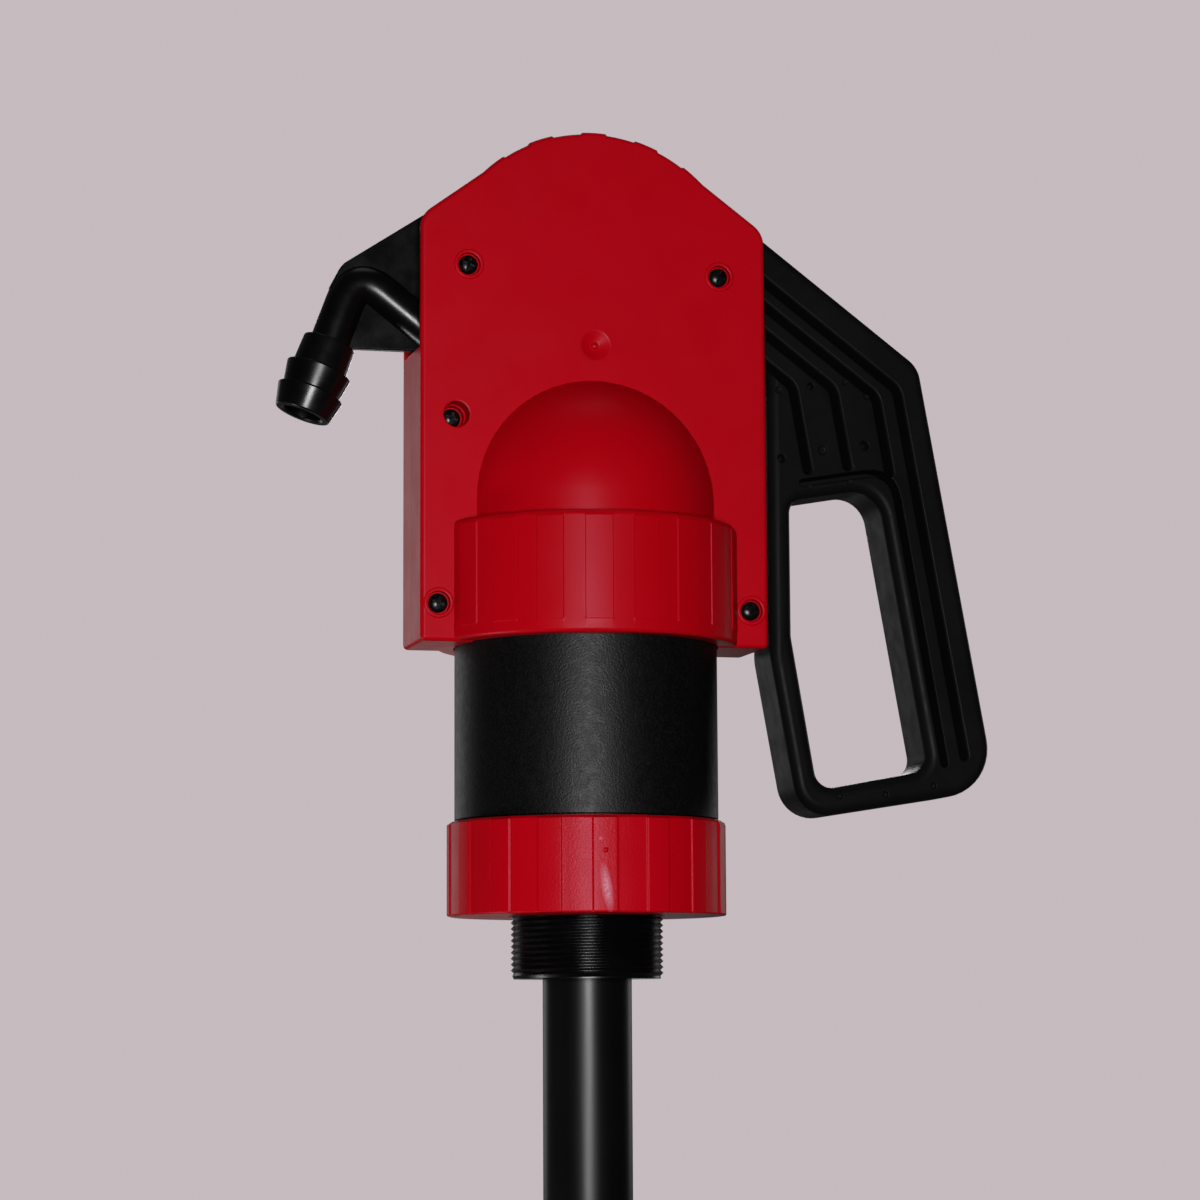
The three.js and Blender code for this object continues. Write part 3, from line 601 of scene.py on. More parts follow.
def collar():
    centres = [9 + 18 * k for k in range(20)]
    r = COLLAR_RADIUS
    profile = [(0.0, 105.5, 0.0), (r, 105.5, 1.7), (r, COLLAR_TOP, 2.2), (0.0, COLLAR_TOP, 0.0)]
    return fluted("collar", profile, centres, 5.0, 0.4, (110.5, 150.2), r, 0.15)


def screw_lip(x, z):
    return slab("lip", circle_outline((x, z), LIP_RADIUS), LIP_FRONT, LIP_ROOT, 0.65)


def recess(x, z, seat):
    """The round-edged hole that a screw head sits in; a deep one has a wider mouth."""
    if seat < LIPPED_SEAT:
        steps = [(RECESS_RADIUS + 0.6, LIP_FRONT - 1), (RECESS_RADIUS + 0.6, LIP_FRONT),
                 (RECESS_RADIUS + 0.16, LIP_FRONT + 0.2), (RECESS_RADIUS, LIP_FRONT + 0.6)]
    else:
        front, mouth, end = -PLATE_HALF_DEPTH, DEEP_MOUTH_RADIUS, DEEP_MOUTH_END
        steps = [(mouth + 0.8, front - 1), (mouth + 0.8, front), (mouth + 0.2, front + 0.25),
                 (mouth, front + 0.8), (mouth, end - 0.1), (RECESS_RADIUS + 0.5, end),
                 (RECESS_RADIUS + 0.12, end + 0.15), (RECESS_RADIUS, end + 0.5)]
    return drilled("recess", (x, z), [*steps, (RECESS_RADIUS, seat)])


def shell(name, side):
    """One half of the housing: side is -1 for the front and 1 for the back."""
    skin = slab("skin", housing_outline, -PLATE_HALF_DEPTH, PLATE_HALF_DEPTH, 1.8)
    combine(skin, [collar(), dome("dome", DOME_RADIUS, 150.0)])
    if side < 0:
        combine(skin, [screw_lip(x, z) for x, z, seat in SCREWS.values() if seat < LIPPED_SEAT])
    inner = PLATE_HALF_DEPTH - WALL
    hollow = slab("hollow", lambda inset: housing_outline(WALL + inset), -inner, inner, 0.6)
    windows = [box("w", -80, -WINDOW_X, -inner, inner, SPOUT_WINDOW, 330),
               box("w", WINDOW_X, 80, -inner, inner, LEVER_WINDOW, 330)]
    cut(skin, [hollow, *windows, disc("nut room", NUT_RADIUS + 0.3, 108.6, 149.6),
               dome("dome room", DOME_RADIUS - WALL, 149.0),
               disc("mouth", CYLINDER_RADIUS + 0.5, 100, 109)])
    near, far = (0, inner + 0.3) if side > 0 else (-inner - 0.3, 0)
    combine(skin, [rod("boss", x, z, BOSS_RADIUS, near, far) for x, z, _ in SCREWS.values()])
    cut(skin, [box("other half", -150, 150, *((-SEAM, 90) if side < 0 else (-90, SEAM)), 90, 340)])
    if side < 0:
        cut(skin, [recess(*screw) for screw in SCREWS.values()])
        cut(skin, [rod("shank", x, z, SHANK_HOLE, -30, 5, 32) for x, z, _ in SCREWS.values()])
        cut(skin, [gate_dish()])
        combine(skin, [gate_stub()])
    else:
        cut(skin, [rod("shank", x, z, SHANK_HOLE, -5, 12.3, 32) for x, z, _ in SCREWS.values()])
    skin.name = name
    return skin


GATE = (0.0, 223.8)


def gate_dish():
    """A shallow cone round the injection gate on the front cover."""
    steps = [(6.4, -1.0), (6.3, 0.0), (5.8, 0.1), (5.4, 0.35), (2.2, 1.8), (1.6, 1.9)]
    return drilled("dish", GATE, [(r, d - PLATE_HALF_DEPTH) for r, d in steps])


def gate_stub():
    """What is left of the sprue: a round-topped stub with a nick across it."""
    steps = [(1.5, 2.6), (1.4, 1.2), (1.15, 0.8), (0.7, 0.55), (0.1, 0.45)]
    stub = drilled("stub", GATE, [(r, d - PLATE_HALF_DEPTH) for r, d in steps])
    x, z = GATE
    nick = box("nick", x - 3, x + 3, -PLATE_HALF_DEPTH, 1.1 - PLATE_HALF_DEPTH, z - 0.2, z + 0.2)
    return cut(stub, [nick])


def cross_screw(name, x, z, seat):
    """A domed cross-recess screw with its head towards -Y."""
    head = [(0.0, -2.4), (1.2, -2.34), (2.2, -2.1), (3.0, -1.75), (3.5, -1.3), (3.75, -0.95), (3.8, -0.7),
            (3.8, -0.3), (2.0, -0.3)]
    shank = [(2.0, 12 - seat - 1.2), (1.1, 12 - seat), (0.0, 12 - seat)]
    rings = []
    for r, y in head + shank:
        rings.append([(x1, y, z1) for x1, z1 in arc((0.0, 0.0), r, 0, 360, 48)[:-1]])
    body = loft(name, rings, capped=False)
    cut(body, [rotate(box("blade", -2.5, 2.5, -3.2, -1.0, -0.5, 0.5), angle, "Y") for angle in (20, 110)])
    cut(body, [rod("centre", 0, 0, 1.15, -3.2, -0.6, 16, 0.4)])
    return move(body, x, seat, z)


finish_piece(shell("front_cover", -1), RED, "pump", "front_shell", sharp=28)
finish_piece(shell("back_cover", 1), RED, "pump", "back_shell", sharp=28)
for where, screw in SCREWS.items():
    finish_piece(cross_screw(f"screw_{where}", *screw), OXIDE, "pump", f"shell_screw_{where}")


# ---- operating lever
LEVER_HALF_DEPTH = 14.0
GRIP_TILT = 10.0
TOP_EDGE = (72.7, 270.6, -36.9)  # a point on the edge and its direction
RIGHT_EDGE = (139.4, 209.0, -80.0)
GROOVE_WIDTH = 3.0
GROOVE_DEPTH = 9.0
GROOVE_START = 63.0  # inside the housing, in x
ARM_ANGLE = 147.35
HUB_RADIUS = 26.2


def edge_line(edge, inwards):
    x, z, angle = edge
    return (Vector((x + inwards * math.sin(rad(angle)), z - inwards * math.cos(rad(angle)))),
            Vector(polar(1, angle)))


def corner_inside(below_top, left_of_right):
    """Where lines parallel to the lever's top and right edges meet."""
    p, d = edge_line(TOP_EDGE, below_top)
    q, e = edge_line(RIGHT_EDGE, left_of_right)
    along = ((q - p).x * e.y - (q - p).y * e.x) / (d.x * e.y - d.y * e.x)
    return tuple(p + d * along)


def channel_outline(points, width, steps=6):
    """outline(inset) for a round-ended band of constant width along a line of points."""
    line = [Vector(p) for p in points]

    def outline(inset=0.0):
        half = width / 2 - inset
        left, right = [], []
        for i, here in enumerate(line):
            before = (here - line[i - 1]).normalized() if i else (line[1] - here).normalized()
            after = (line[i + 1] - here).normalized() if i < len(line) - 1 else before
            n1, n2 = Vector((-before.y, before.x)), Vector((-after.y, after.x))
            offset = (n1 + n2) * (half / (1 + n1.dot(n2)))
            left.append(tuple(here + offset))
            right.append(tuple(here - offset))

        def cap(centre, start):
            arm = Vector(start) - centre
            turns = [-math.pi * k / steps for k in range(1, steps)]
            return [tuple(centre + Vector((arm.x * math.cos(t) - arm.y * math.sin(t),
                                           arm.x * math.sin(t) + arm.y * math.cos(t)))) for t in turns]

        return left + cap(line[-1], left[-1]) + right[::-1] + cap(line[0], right[0])
    return outline


def groove_runs():
    """The middle lines of the four rows of grooves, then of the arch over the grip opening."""
    rows = [(14.2, 11.8, 64.0), (22.2, 21.3, 178.0), (31.1, 38.6, 180.0), (41.0, 55.4, 178.0)]
    runs = []
    for below, left, end in rows:  # distances from the top and right edges, and the lower end
        corner = corner_inside(below, left)
        start = (GROOVE_START, corner[1] + (corner[0] - GROOVE_START) * math.tan(rad(-TOP_EDGE[2])))
        last = (corner[0] + (corner[1] - end) * math.tan(rad(GRIP_TILT)), end)
        runs.append([start, *soft_corner(start, corner, last, 3.0, 4), last])
    arch = soft_corner((110, 176.6), (124.3, 179.2), (126.9, 164.4), 12.0, 6)
    return runs + [[(86.5, 172.6), (110.0, 176.6), *arch, (144.4, 61.0)]]


def soft_corner(start, corner, end, reach, steps):
    """A bend that leaves the corner's legs at reach from it."""
    c = Vector(corner)
    a = c + (Vector(start) - c).normalized() * reach
    b = c + (Vector(end) - c).normalized() * reach
    return bend(a, c, b, steps)


def groove_cutter(points, face, lip):
    """A groove with softened lips, cut into the front (-1) or back (1) face."""
    outline = channel_outline(points, GROOVE_WIDTH)
    d = LEVER_HALF_DEPTH
    steps = [(-1.05 * lip, d + 1), (-lip, d), (-0.55 * lip, d - 0.18 * lip), (-0.2 * lip, d - 0.55 * lip),
             (0.0, d - 1.2 * lip), (0.35, d - GROOVE_DEPTH)]
    return extruded("groove", outline, [(inset, face * y) for inset, y in steps])


def pin_mark(x, z, radius, depth, face):
    """The dent that an ejector pin leaves, with a soft lip and a dished floor."""
    d = LEVER_HALF_DEPTH
    steps = [(radius + 0.5, d + 1), (radius + 0.45, d), (radius + 0.1, d - 0.12), (radius, d - 0.4),
             (radius * 0.85, d - 0.8 * depth), (radius * 0.5, d - depth)]
    return drilled("mark", (x, z), [(r, face * y) for r, y in steps], 32)


# x, z, radius and depth of each ejector pin's dent
PIN_MARKS = [(77.5, 182.2, 1.7, 3.5), (94.9, 186.1, 1.9, 0.9), (112.6, 188.6, 1.9, 3.5),
             (76.6, 209.9, 1.3, 0.8), (90.2, 212.1, 1.4, 3.0), (104.8, 214.3, 1.2, 0.7),
             (113.9, 208.8, 1.3, 0.8), (89.1, 171.0, 1.2, 0.7), (106.1, 173.6, 1.2, 0.7),
             (119.3, 48.2, 1.2, 1.5), (139.6, 51.9, 1.2, 1.5), (100.0, 47.4, 1.2, 1.5)]

GRIP_OPENING = [(81.7, 165.5, 6), (81.7, 110.8, 12), (92, 49.8, 7), (138.3, 58.3, 7), (118.5, 172, 12)]


def lever_outline(inset=0.0):
    foot = polar(HUB_RADIUS, 53.1, PIVOT)
    corner = corner_inside(0, 0)
    corners = [(*foot, 0.5), (45.0, 262.0, 2), (45.0, 240.0, 2), (61.0, 230.0, 6), (72.8, 217.0, 6),
               (72.8, 102.7, 25), (84.3, 37.9, 14), (167.28, 51.0, 20), (*corner, 12)]
    return rounded(corners, inset, 10)


def along_arm(distance):
    return polar(distance, ARM_ANGLE, PIVOT)


def band(name, start, end, width, y0, y1, fillet):
    """A round-ended bar between two distances along the rod arm."""
    return slab(name, channel_outline([along_arm(start), along_arm(end)], width, 16), y0, y1, fillet)


def lever():
    d = LEVER_HALF_DEPTH
    body = slab("lever_moulding", lever_outline, -d, d, 4.0)
    hub = slab("hub", circle_outline(PIVOT, HUB_RADIUS), -d, d, 4.0)
    arm = band("arm", 4, 60.6, 20, -10.5, 10.5, 1.0)
    combine(body, [hub, arm])
    opening = plug("opening", lambda inset: rounded(GRIP_OPENING, inset, 10), -d, d, 4.4)
    bore = plug("bore", circle_outline(PIVOT, 8.6), -d, d, 0.6)
    slot = plug("slot", channel_outline([along_arm(51), along_arm(60.6)], 11.4, 16), -10.5, 10.5, 0.5)
    fork = band("fork", 45, 90, 40, -4.9, 4.9, 0.2)
    cut(body, [opening, bore, slot, fork])
    for face in (-1, 1):
        *rows, arch = groove_runs()
        cut(body, [*(groove_cutter(run, face, 1.1) for run in rows), groove_cutter(arch, face, 0.5)])
        cut(body, [pin_mark(*mark, face) for mark in PIN_MARKS])
    return body


finish_piece(lever(), LEVER, "lever", "lever", sharp=38)


def hollow_rod(name, x, z, outer, inner, y0, y1, edge=0.3):
    """A tube along Y."""
    return move(rotate(washer(name, inner, outer, y0, y1, edge), -90, "X"), x, 0, z)


def pivot_sleeve():
    half = PLATE_HALF_DEPTH - WALL - 0.3
    return hollow_rod("pivot_bush", *PIVOT, 8.3, BOSS_RADIUS + 0.3, -half, half)


finish_piece(pivot_sleeve(), STEEL, "pump", "pivot_sleeve")


# ---- spout
ELBOW = (-92.4, 252.0)
RISE = -37.8  # direction of the pipe that enters the housing
DROP = -110.4  # direction of the hose tail
PORT = 125.0  # direction of the outlet socket
HEAD_Z = 149.0
ROD_WAY = 6.4  # radius of the holes that the piston rod slides through
PIPE_RADIUS = 7.8
PIPE_BORE = 5.8
WEB_HALF = 2.0
SPIGOT_RADIUS = 8.5
TAIL_END = 61.0


def from_elbow(distance, angle):
    return polar(distance, angle, ELBOW)


def from_head(distance):
    return polar(distance, PORT, (0.0, HEAD_Z))


def onto_port(obj):
    """Moves a piece turned about Z onto the outlet's axis, heights running out from the head."""
    return move(rotate(obj, 90 - PORT, "Y"), z=HEAD_Z)


def onto_tail(obj):
    return move(rotate(obj, 90 - DROP, "Y"), ELBOW[0], 0, ELBOW[1])


def spout_route(inner_end, outer_end):
    inside = bend(from_head(76), (-48.0, 217.5), from_elbow(48, RISE), 14)
    elbow = bend(from_elbow(13, RISE), ELBOW, from_elbow(13, DROP), 14)
    return [Vector(from_head(inner_end)), *inside, *elbow, Vector(from_elbow(outer_end, DROP))]


def swept(name, route, radius, facets=56):
    """A round bar along a route in the XZ plane."""
    rings = []
    for i, here in enumerate(route):
        before, after = route[max(i - 1, 0)], route[min(i + 1, len(route) - 1)]
        along = (after - before).normalized()
        across = Vector((-along.y, along.x))
        ring = []
        for k in range(facets):
            a = rad(360 * k / facets)
            p = here + across * (radius * math.cos(a))
            ring.append((p.x, radius * math.sin(a), p.y))
        rings.append(ring)
    return loft(name, rings)


def web_outline(inset=0.0):
    corners = [(-58, 221.5, 0.3), (-41, 234, 4), (-41, 270, 4), (-56, 283.2, 4), (-98.3, 255.1, 8),
               (-103.6, 245, 3), (-99.5, 238, 1), (-99.5, 221.5, 1)]
    return rounded(corners, inset)


def hose_tail():
    profile = [(0, 30.2, 0), (10.4, 30.2, 0.7), (10.8, 41.6, 0.3), (13.0, 42.2, 0.35), (11.4, 51.2, 0.3),
               (13.2, 51.8, 0.35), (11.0, TAIL_END, 0.8), (0, TAIL_END, 0)]
    return onto_tail(turned("tail", profile, 96))


def spout():
    body = swept("spout_moulding", spout_route(60, 40), PIPE_RADIUS)
    flange = peg("flange", 11.2, 62.6, 66, low=0.4, high=0.6)
    spigot = peg("spigot", SPIGOT_RADIUS, 48.5, 64, low=0.8)
    combine(body, [slab("web", web_outline, -WEB_HALF, WEB_HALF, 0.6), hose_tail(),
                   onto_port(flange), onto_port(spigot)])
    mouth = [(0, TAIL_END - 28, 0), (7.6, TAIL_END - 28, 0), (7.6, TAIL_END - 0.8, 0.1),
             (8.6, TAIL_END + 0.2, 0.1), (8.6, TAIL_END + 2, 0), (0, TAIL_END + 2, 0)]
    cut(body, [swept("bore", spout_route(46, 59), PIPE_BORE), onto_tail(turned("mouth", mouth, 96)),
               rod("boss gap", *SCREWS["upper_left"][:2], BOSS_RADIUS + 0.3, -5, 5)])
    return body


finish_piece(spout(), BLACK, "pump", "spout")


# ---- cylinder, head and nuts
def cylinder():
    step = NUT_HEIGHT + 0.5
    profile = [(CYLINDER_BORE, 11.6, 0.3), (CAP_RADIUS, 11.6, 0.6), (CAP_RADIUS, step, 0.1),
               (CYLINDER_RADIUS, step, 0.5), (CYLINDER_RADIUS, 112.5, 0.5), (CAP_RADIUS, 112.5, 0.1),
               (CAP_RADIUS, 140.8, 0.6), (CYLINDER_BORE, 140.8, 0.3)]
    return turned("cylinder_barrel", profile)


def dome_shell(name, radius, thickness, skirt):
    """A thin dome over a straight skirt, open below."""
    outer = arc((0, HEAD_Z), radius, 0, 90, 16)
    inner = arc((0, HEAD_Z), radius - thickness, 90, 0, 16)
    return spun(name, [(radius - thickness, skirt), (radius, skirt), *outer, *inner])


def cylinder_head():
    body = dome_shell("pump_head", 46.5, 3.5, 143.5)
    flange = [(43, 142.9, 0.2), (CAP_RADIUS, 142.9, 0.4), (CAP_RADIUS, 145.9, 0.4), (46, 145.9, 0),
              (44, 144.5, 0)]
    combine(body, [turned("flange", flange), onto_port(peg("socket", 11.5, 43.6, 60, high=0.8)),
                   peg("gland boss", 13, 186, 203, high=0.8)])
    return cut(body, [onto_port(peg("mouth", 8.8, 47.5, 70, low=0.4)),
                      onto_port(peg("waterway", 6.5, 36, 50, ROUND_SMALL)),
                      peg("gland", 9.5, 189.5, 220, low=0.3),
                      peg("rod way", ROD_WAY, 170, 220, ROUND_SMALL)])


def hexagon(name, across_corners, z0, z1, chamfer=0.8):
    """A hexagonal prism with its corners turned off at both ends."""
    outline = [polar(across_corners, 60 * k) for k in range(6)]
    prism = loft(name, [[(x, y, z) for x, y in outline] for z in (z0, z1)])
    end = across_corners - chamfer * 1.6
    profile = [(0, z0, 0), (end, z0, 0), (across_corners, z0 + chamfer, 0),
               (across_corners, z1 - chamfer, 0), (end, z1, 0), (0, z1, 0)]
    return combine(prism, [turned("turned off", profile, 96)], "INTERSECT")


def gland_nut():
    body = hexagon("gland_nut_hex", 10.9, 203.3, 209.2)
    combine(body, [peg("neck", 9.2, 194.8, 204, low=0.5)])
    return cut(body, [peg("bore", ROD_WAY, 180, 215, ROUND_SMALL)])


def upper_nut():
    profile = [(NUT_BORE, 113, 0.4), (NUT_RADIUS, 113, 1.0), (NUT_RADIUS, 149.2, 1.5), (47, 149.2, 0.4),
               (47, 146.2, 0.3), (NUT_BORE, 146.2, 0.3)]
    return turned("upper_union_nut", profile)


NUT_PAD = -6.6  # direction of the pad with the gate mark, degrees from the front


def lower_nut():
    pads = [22.5 * k + NUT_PAD for k in range(16)]
    r = NUT_RADIUS - 0.6
    profile = [(0, 0, 0), (r, 0, 0.9), (r, NUT_HEIGHT - 1.0, 0.5), (r - 1.2, NUT_HEIGHT, 0.4),
               (0, NUT_HEIGHT, 0)]
    body = fluted("lower_union_nut", profile, pads, 5.0, 0.6, (-1, NUT_HEIGHT - 0.9), r)
    inside = peg("inside", NUT_BORE, 3.5, NUT_HEIGHT + 1, ROUND, low=0.5)
    hole = [(0, -1, 0), (31.0, -1, 0), (31.0, -0.1, 0), (30.3, 0.5, 0.1), (30.3, 10, 0), (0, 10, 0)]
    x = NUT_RADIUS * math.sin(rad(NUT_PAD))
    gate = rod("gate", x, 23.3, 1.4, -NUT_RADIUS - 0.4, -NUT_RADIUS + 1.3, 24, 0.6)
    return cut(body, [inside, turned("hole", hole), gate])


for piece, material, node in (
        (cylinder(), GRAIN, "cylinder"),
        (cylinder_head(), BLACK, "cylinder_head"),
        (gland_nut(), ACETAL, "gland_nut"),
        (upper_nut(), RED, "upper_nut"),
        (lower_nut(), RED_NUT, "lower_nut"),
        (washer("head_gasket", CYLINDER_BORE, CAP_RADIUS, 141.1, 142.6, 0.4), RUBBER, "head_seal"),
        (washer("rod_packing", 6.3, 9.2, 189.8, 194.5, 0.7), RUBBER, "rod_seal"),
        (washer("adapter_gasket", CYLINDER_BORE, CAP_RADIUS, 9.3, 11.3, 0.4), RUBBER, "adapter_seal"),
        (onto_port(washer("spout_gasket", 8.8, 11.2, 60.3, 62.3, 0.8)), RUBBER, "spout_seal")):
    finish_piece(piece, material, "pump", node)


# ---- piston and rod
PIN_Z = 286.5  # rod pin height with the handle down
PIN_TO_PISTON = 166
PISTON_HEIGHT = 14
PISTON_TOP = PIN_Z - PIN_TO_PISTON
PISTON_BOTTOM = PISTON_TOP - PISTON_HEIGHT
CLIP_Y = 12  # the rod pin's two clips, either side of the middle


def piston_rod():
    low, step = PISTON_BOTTOM - 12, PISTON_TOP
    profile = [(0, low, 0), (5, low, 0.8), (5, step, 0.1), (6, step, 0.1), (6, PIN_Z - 4, 1.0),
               (0, PIN_Z - 4, 0)]
    body = turned("rod", profile, ROUND_SMALL)
    flats = [box("flat", -10, 10, y0, y1, PIN_Z - 17, PIN_Z + 10) for y0, y1 in ((-20, -4.4), (4.4, 20))]
    cut(body, flats)
    combine(body, [slab("eye", circle_outline((0, PIN_Z), 8), -4.4, 4.4, 0.6)])
    return cut(body, [rod("pin hole", 0, PIN_Z, 4.3, -10, 10)])


def piston():
    r, groove = 46.6, 43.0
    profile = [(5.3, PISTON_BOTTOM, 0.3), (r, PISTON_BOTTOM, 0.8), (r, PISTON_BOTTOM + 3, 0.3),
               (groove, PISTON_BOTTOM + 3, 0.3), (groove, PISTON_TOP - 3, 0.3), (r, PISTON_TOP - 3, 0.3),
               (r, PISTON_TOP, 0.8), (12, PISTON_TOP, 0.1), (11.9, PISTON_TOP - 0.3, 0),
               (5.3, PISTON_TOP - 0.3, 0.1)]
    body = turned("piston_disc", profile)
    ports = []
    for k in range(6):
        x, y = polar(26, 60 * k)
        ports.append(move(peg("port", 7, -20, 20, 48), x, y, PISTON_TOP))
    return cut(body, ports)


def piston_seal():
    low, high = PISTON_BOTTOM + 3.3, PISTON_TOP - 3.3
    middle = (low + high) / 2
    profile = [(43.3, low, 0.3), (47.2, low, 0.2), (47.6, low + 2, 0.5), (46.6, middle, 1.5),
               (47.6, high - 2, 0.5), (47.2, high, 0.2), (43.3, high, 0.3)]
    return turned("piston_cup", profile)


def piston_flap():
    return washer("piston_flap", 6.6, 35.5, PISTON_TOP + 0.3, PISTON_TOP + 2.3)


def valve_stop():
    z = PISTON_TOP + 5.8
    profile = [(6.3, z, 0.2), (24, z, 0.5), (24, z + 1.5, 0.4), (11, z + 3.5, 0.8), (11, z + 8, 0.5),
               (6.3, z + 8, 0.2)]
    return turned("valve_keeper", profile, 120)


def piston_nut():
    top = PISTON_BOTTOM - 0.3
    return cut(hexagon("piston_lock_nut", 9.5, top - 8, top), [peg("bore", 5.3, top - 9, top + 1, 48)])


def rod_pin():
    body = hollow_rod("pin", 0, PIN_Z, 4, 0, -13.4, 13.4, 0.7)
    grooves = [hollow_rod("groove", 0, PIN_Z, 8, 3.2, y - 0.9, y + 0.9, 0) for y in (-CLIP_Y, CLIP_Y)]
    return cut(body, grooves)


def pin_clip(name, y):
    body = hollow_rod(name, 0, PIN_Z, 6.6, 3.5, y - 0.6, y + 0.6, 0.15)
    return cut(body, [box("mouth", -2.4, 2.4, y - 2, y + 2, PIN_Z, PIN_Z + 9)])


for piece, material, body, node in (
        (piston_rod(), STEEL, "piston", "piston_rod"),
        (rod_pin(), STEEL, "piston", "rod_pin"),
        (pin_clip("clip_front", -CLIP_Y), STEEL, "piston", "rod_pin_clip_front"),
        (pin_clip("clip_back", CLIP_Y), STEEL, "piston", "rod_pin_clip_back"),
        (piston(), ACETAL, "piston", "piston"),
        (piston_seal(), RUBBER, "piston", "piston_seal"),
        (piston_flap(), RUBBER, "piston_valve", "piston_valve"),
        (valve_stop(), ACETAL, "piston", "piston_valve_stop"),
        (piston_nut(), STEEL, "piston", "piston_nut")):
    finish_piece(piece, material, body, node)


# ---- bung adapter and suction side
def threaded(name, crest, depth, pitch, bottom, top, core, chamfer=1.4):
    """A tube with a helical thread outside; the thread fades out at both ends."""
    facets = 120
    # part of a turn, and height from the root: crest, flank, root, flank
    shape = ((0.0, 1.0), (0.03, 1.0), (0.06, 0.93), (0.48, 0.07), (0.51, 0.0), (0.54, 0.0),
             (0.57, 0.07), (0.97, 0.93))
    turns = int((top - bottom) / pitch) + 2
    rows = [(turn + part, height) for turn in range(-1, turns) for part, height in shape]
    verts = []
    for i in range(facets):
        section = [(core, bottom)]
        for row, height in rows:
            z = min(max(bottom + (row + i / facets) * pitch, bottom), top)
            fade = min((z - bottom) / pitch, (top - z) / (0.2 * pitch), 1.0)
            r = crest - depth * (1 - height * max(fade, 0.0))
            if z - bottom < chamfer:
                r = min(r, crest - depth + max(z - bottom, 0) * 1.2)
            section.append((r, z))
        section.append((core, top))
        verts += [(*polar(r, 360 * i / facets), z) for r, z in section]
    count = len(rows) + 2
    faces = []
    for i in range(facets):
        here, ahead = i * count, (i + 1) % facets * count
        shift = len(shape) if i == facets - 1 else 0
        joins = [0, *(min(j + shift, count - 2) for j in range(1, count - 1)), count - 1]
        for j in range(count - 1):
            faces.append((here + j, here + j + 1, ahead + joins[j + 1], ahead + joins[j]))
        faces.append((here + count - 1, here, ahead, ahead + count - 1))
    return new_object(name, verts, faces)


def bung_adapter():
    low = -THREAD_LENGTH
    core = [(13, 9, 0.2), (CAP_RADIUS, 9, 0.4), (CAP_RADIUS, 3.8, 0.4), (29.3, 3.8, 0.2),
            (27.6, 1.5, 0.3), (27.6, low, 0), (17.75, low, 0.4), (17.75, -4.5, 0.1), (19.9, -4.5, 0.1),
            (19.9, -1.2, 0.1), (17.75, -1.2, 0.1), (17.75, 2, 0.1), (13, 2, 0.2)]
    seat = [(13, 8, 0), (16, 8, 0.1), (16, 9.6, 0.2), (14.6, 11, 0.2), (13, 11, 0.2)]
    body = threaded("bung_adapter_thread", THREAD_RADIUS, 1.1, THREAD_PITCH, low, 3.7, 24)
    return combine(body, [turned("core", core), turned("seat", seat)])


def inlet_cage():
    profile = [(20, 9.3, 0.2), (25, 9.3, 0.4), (25, 12, 0.4), (23, 12, 0.3), (23, 20, 0.8), (8, 20, 0.6),
               (8, 17.2, 0.3), (20, 17.2, 0.5)]
    body = turned("inlet_cage", profile, 120)
    return cut(body, [rotate(box("window", 0, 40, -10, 10, 12.8, 16.8), 90 * k, "Z") for k in range(4)])


def lock_collar():
    top, bottom = TUBE_BOTTOM - 17, TUBE_BOTTOM - 29
    profile = [(SLIDE_RADIUS, bottom, 0.6), (20.1, bottom, 0.9), (20.1, top, 0.9), (SLIDE_RADIUS, top, 0.6)]
    pads = [30 * k + 15 for k in range(12)]
    body = fluted("lock_ring", profile, pads, 7, 0.4, (bottom + 1, top - 1), 20.1)
    corners = [(15, bottom + 2, 0.3), (31, bottom + 2, 3.0), (31, top - 2, 3.0), (15, top - 2, 0.3)]
    for side in (0, 180):
        wing = slab("wing", lambda inset: rounded(corners, inset), -3, 3, 1.0)
        combine(body, [rotate(wing, side, "Z")])
    return cut(body, [peg("bore", SLIDE_RADIUS, bottom - 1, top + 1)])


def foot_strainer():
    low = FOOT
    profile = [(0, low, 0), (16.5, low, 1.2), (16.5, -490, 0.4), (SLIDE_RADIUS, -488, 0.3),
               (SLIDE_RADIUS, -496.3, 0.1), (11.8, -496.3, 0.2), (11.8, low + 3, 0.4), (0, low + 3, 0)]
    body = turned("strainer", profile, 120)
    corners = [(9, low + 4, 1), (20, low + 4, 1), (20, low + 14, 1), (9, low + 14, 1)]
    slits = []
    for k in range(6):
        slit = slab("slit", lambda inset: rounded(corners, inset, 4), -2.2, 2.2, 0.1)
        slits.append(rotate(slit, 60 * k, "Z"))
    return cut(body, slits)


def ferrule():
    z = TUBE_BOTTOM - 0.3
    profile = [(SLIDE_RADIUS, z - 16, 0.4), (21.5, z - 16, 0.8), (21.5, z, 1.2),
               (TUBE_RADIUS + 0.3, z, 0.3), (SLIDE_RADIUS, z, 0.3)]
    return turned("ferrule", profile, 120)


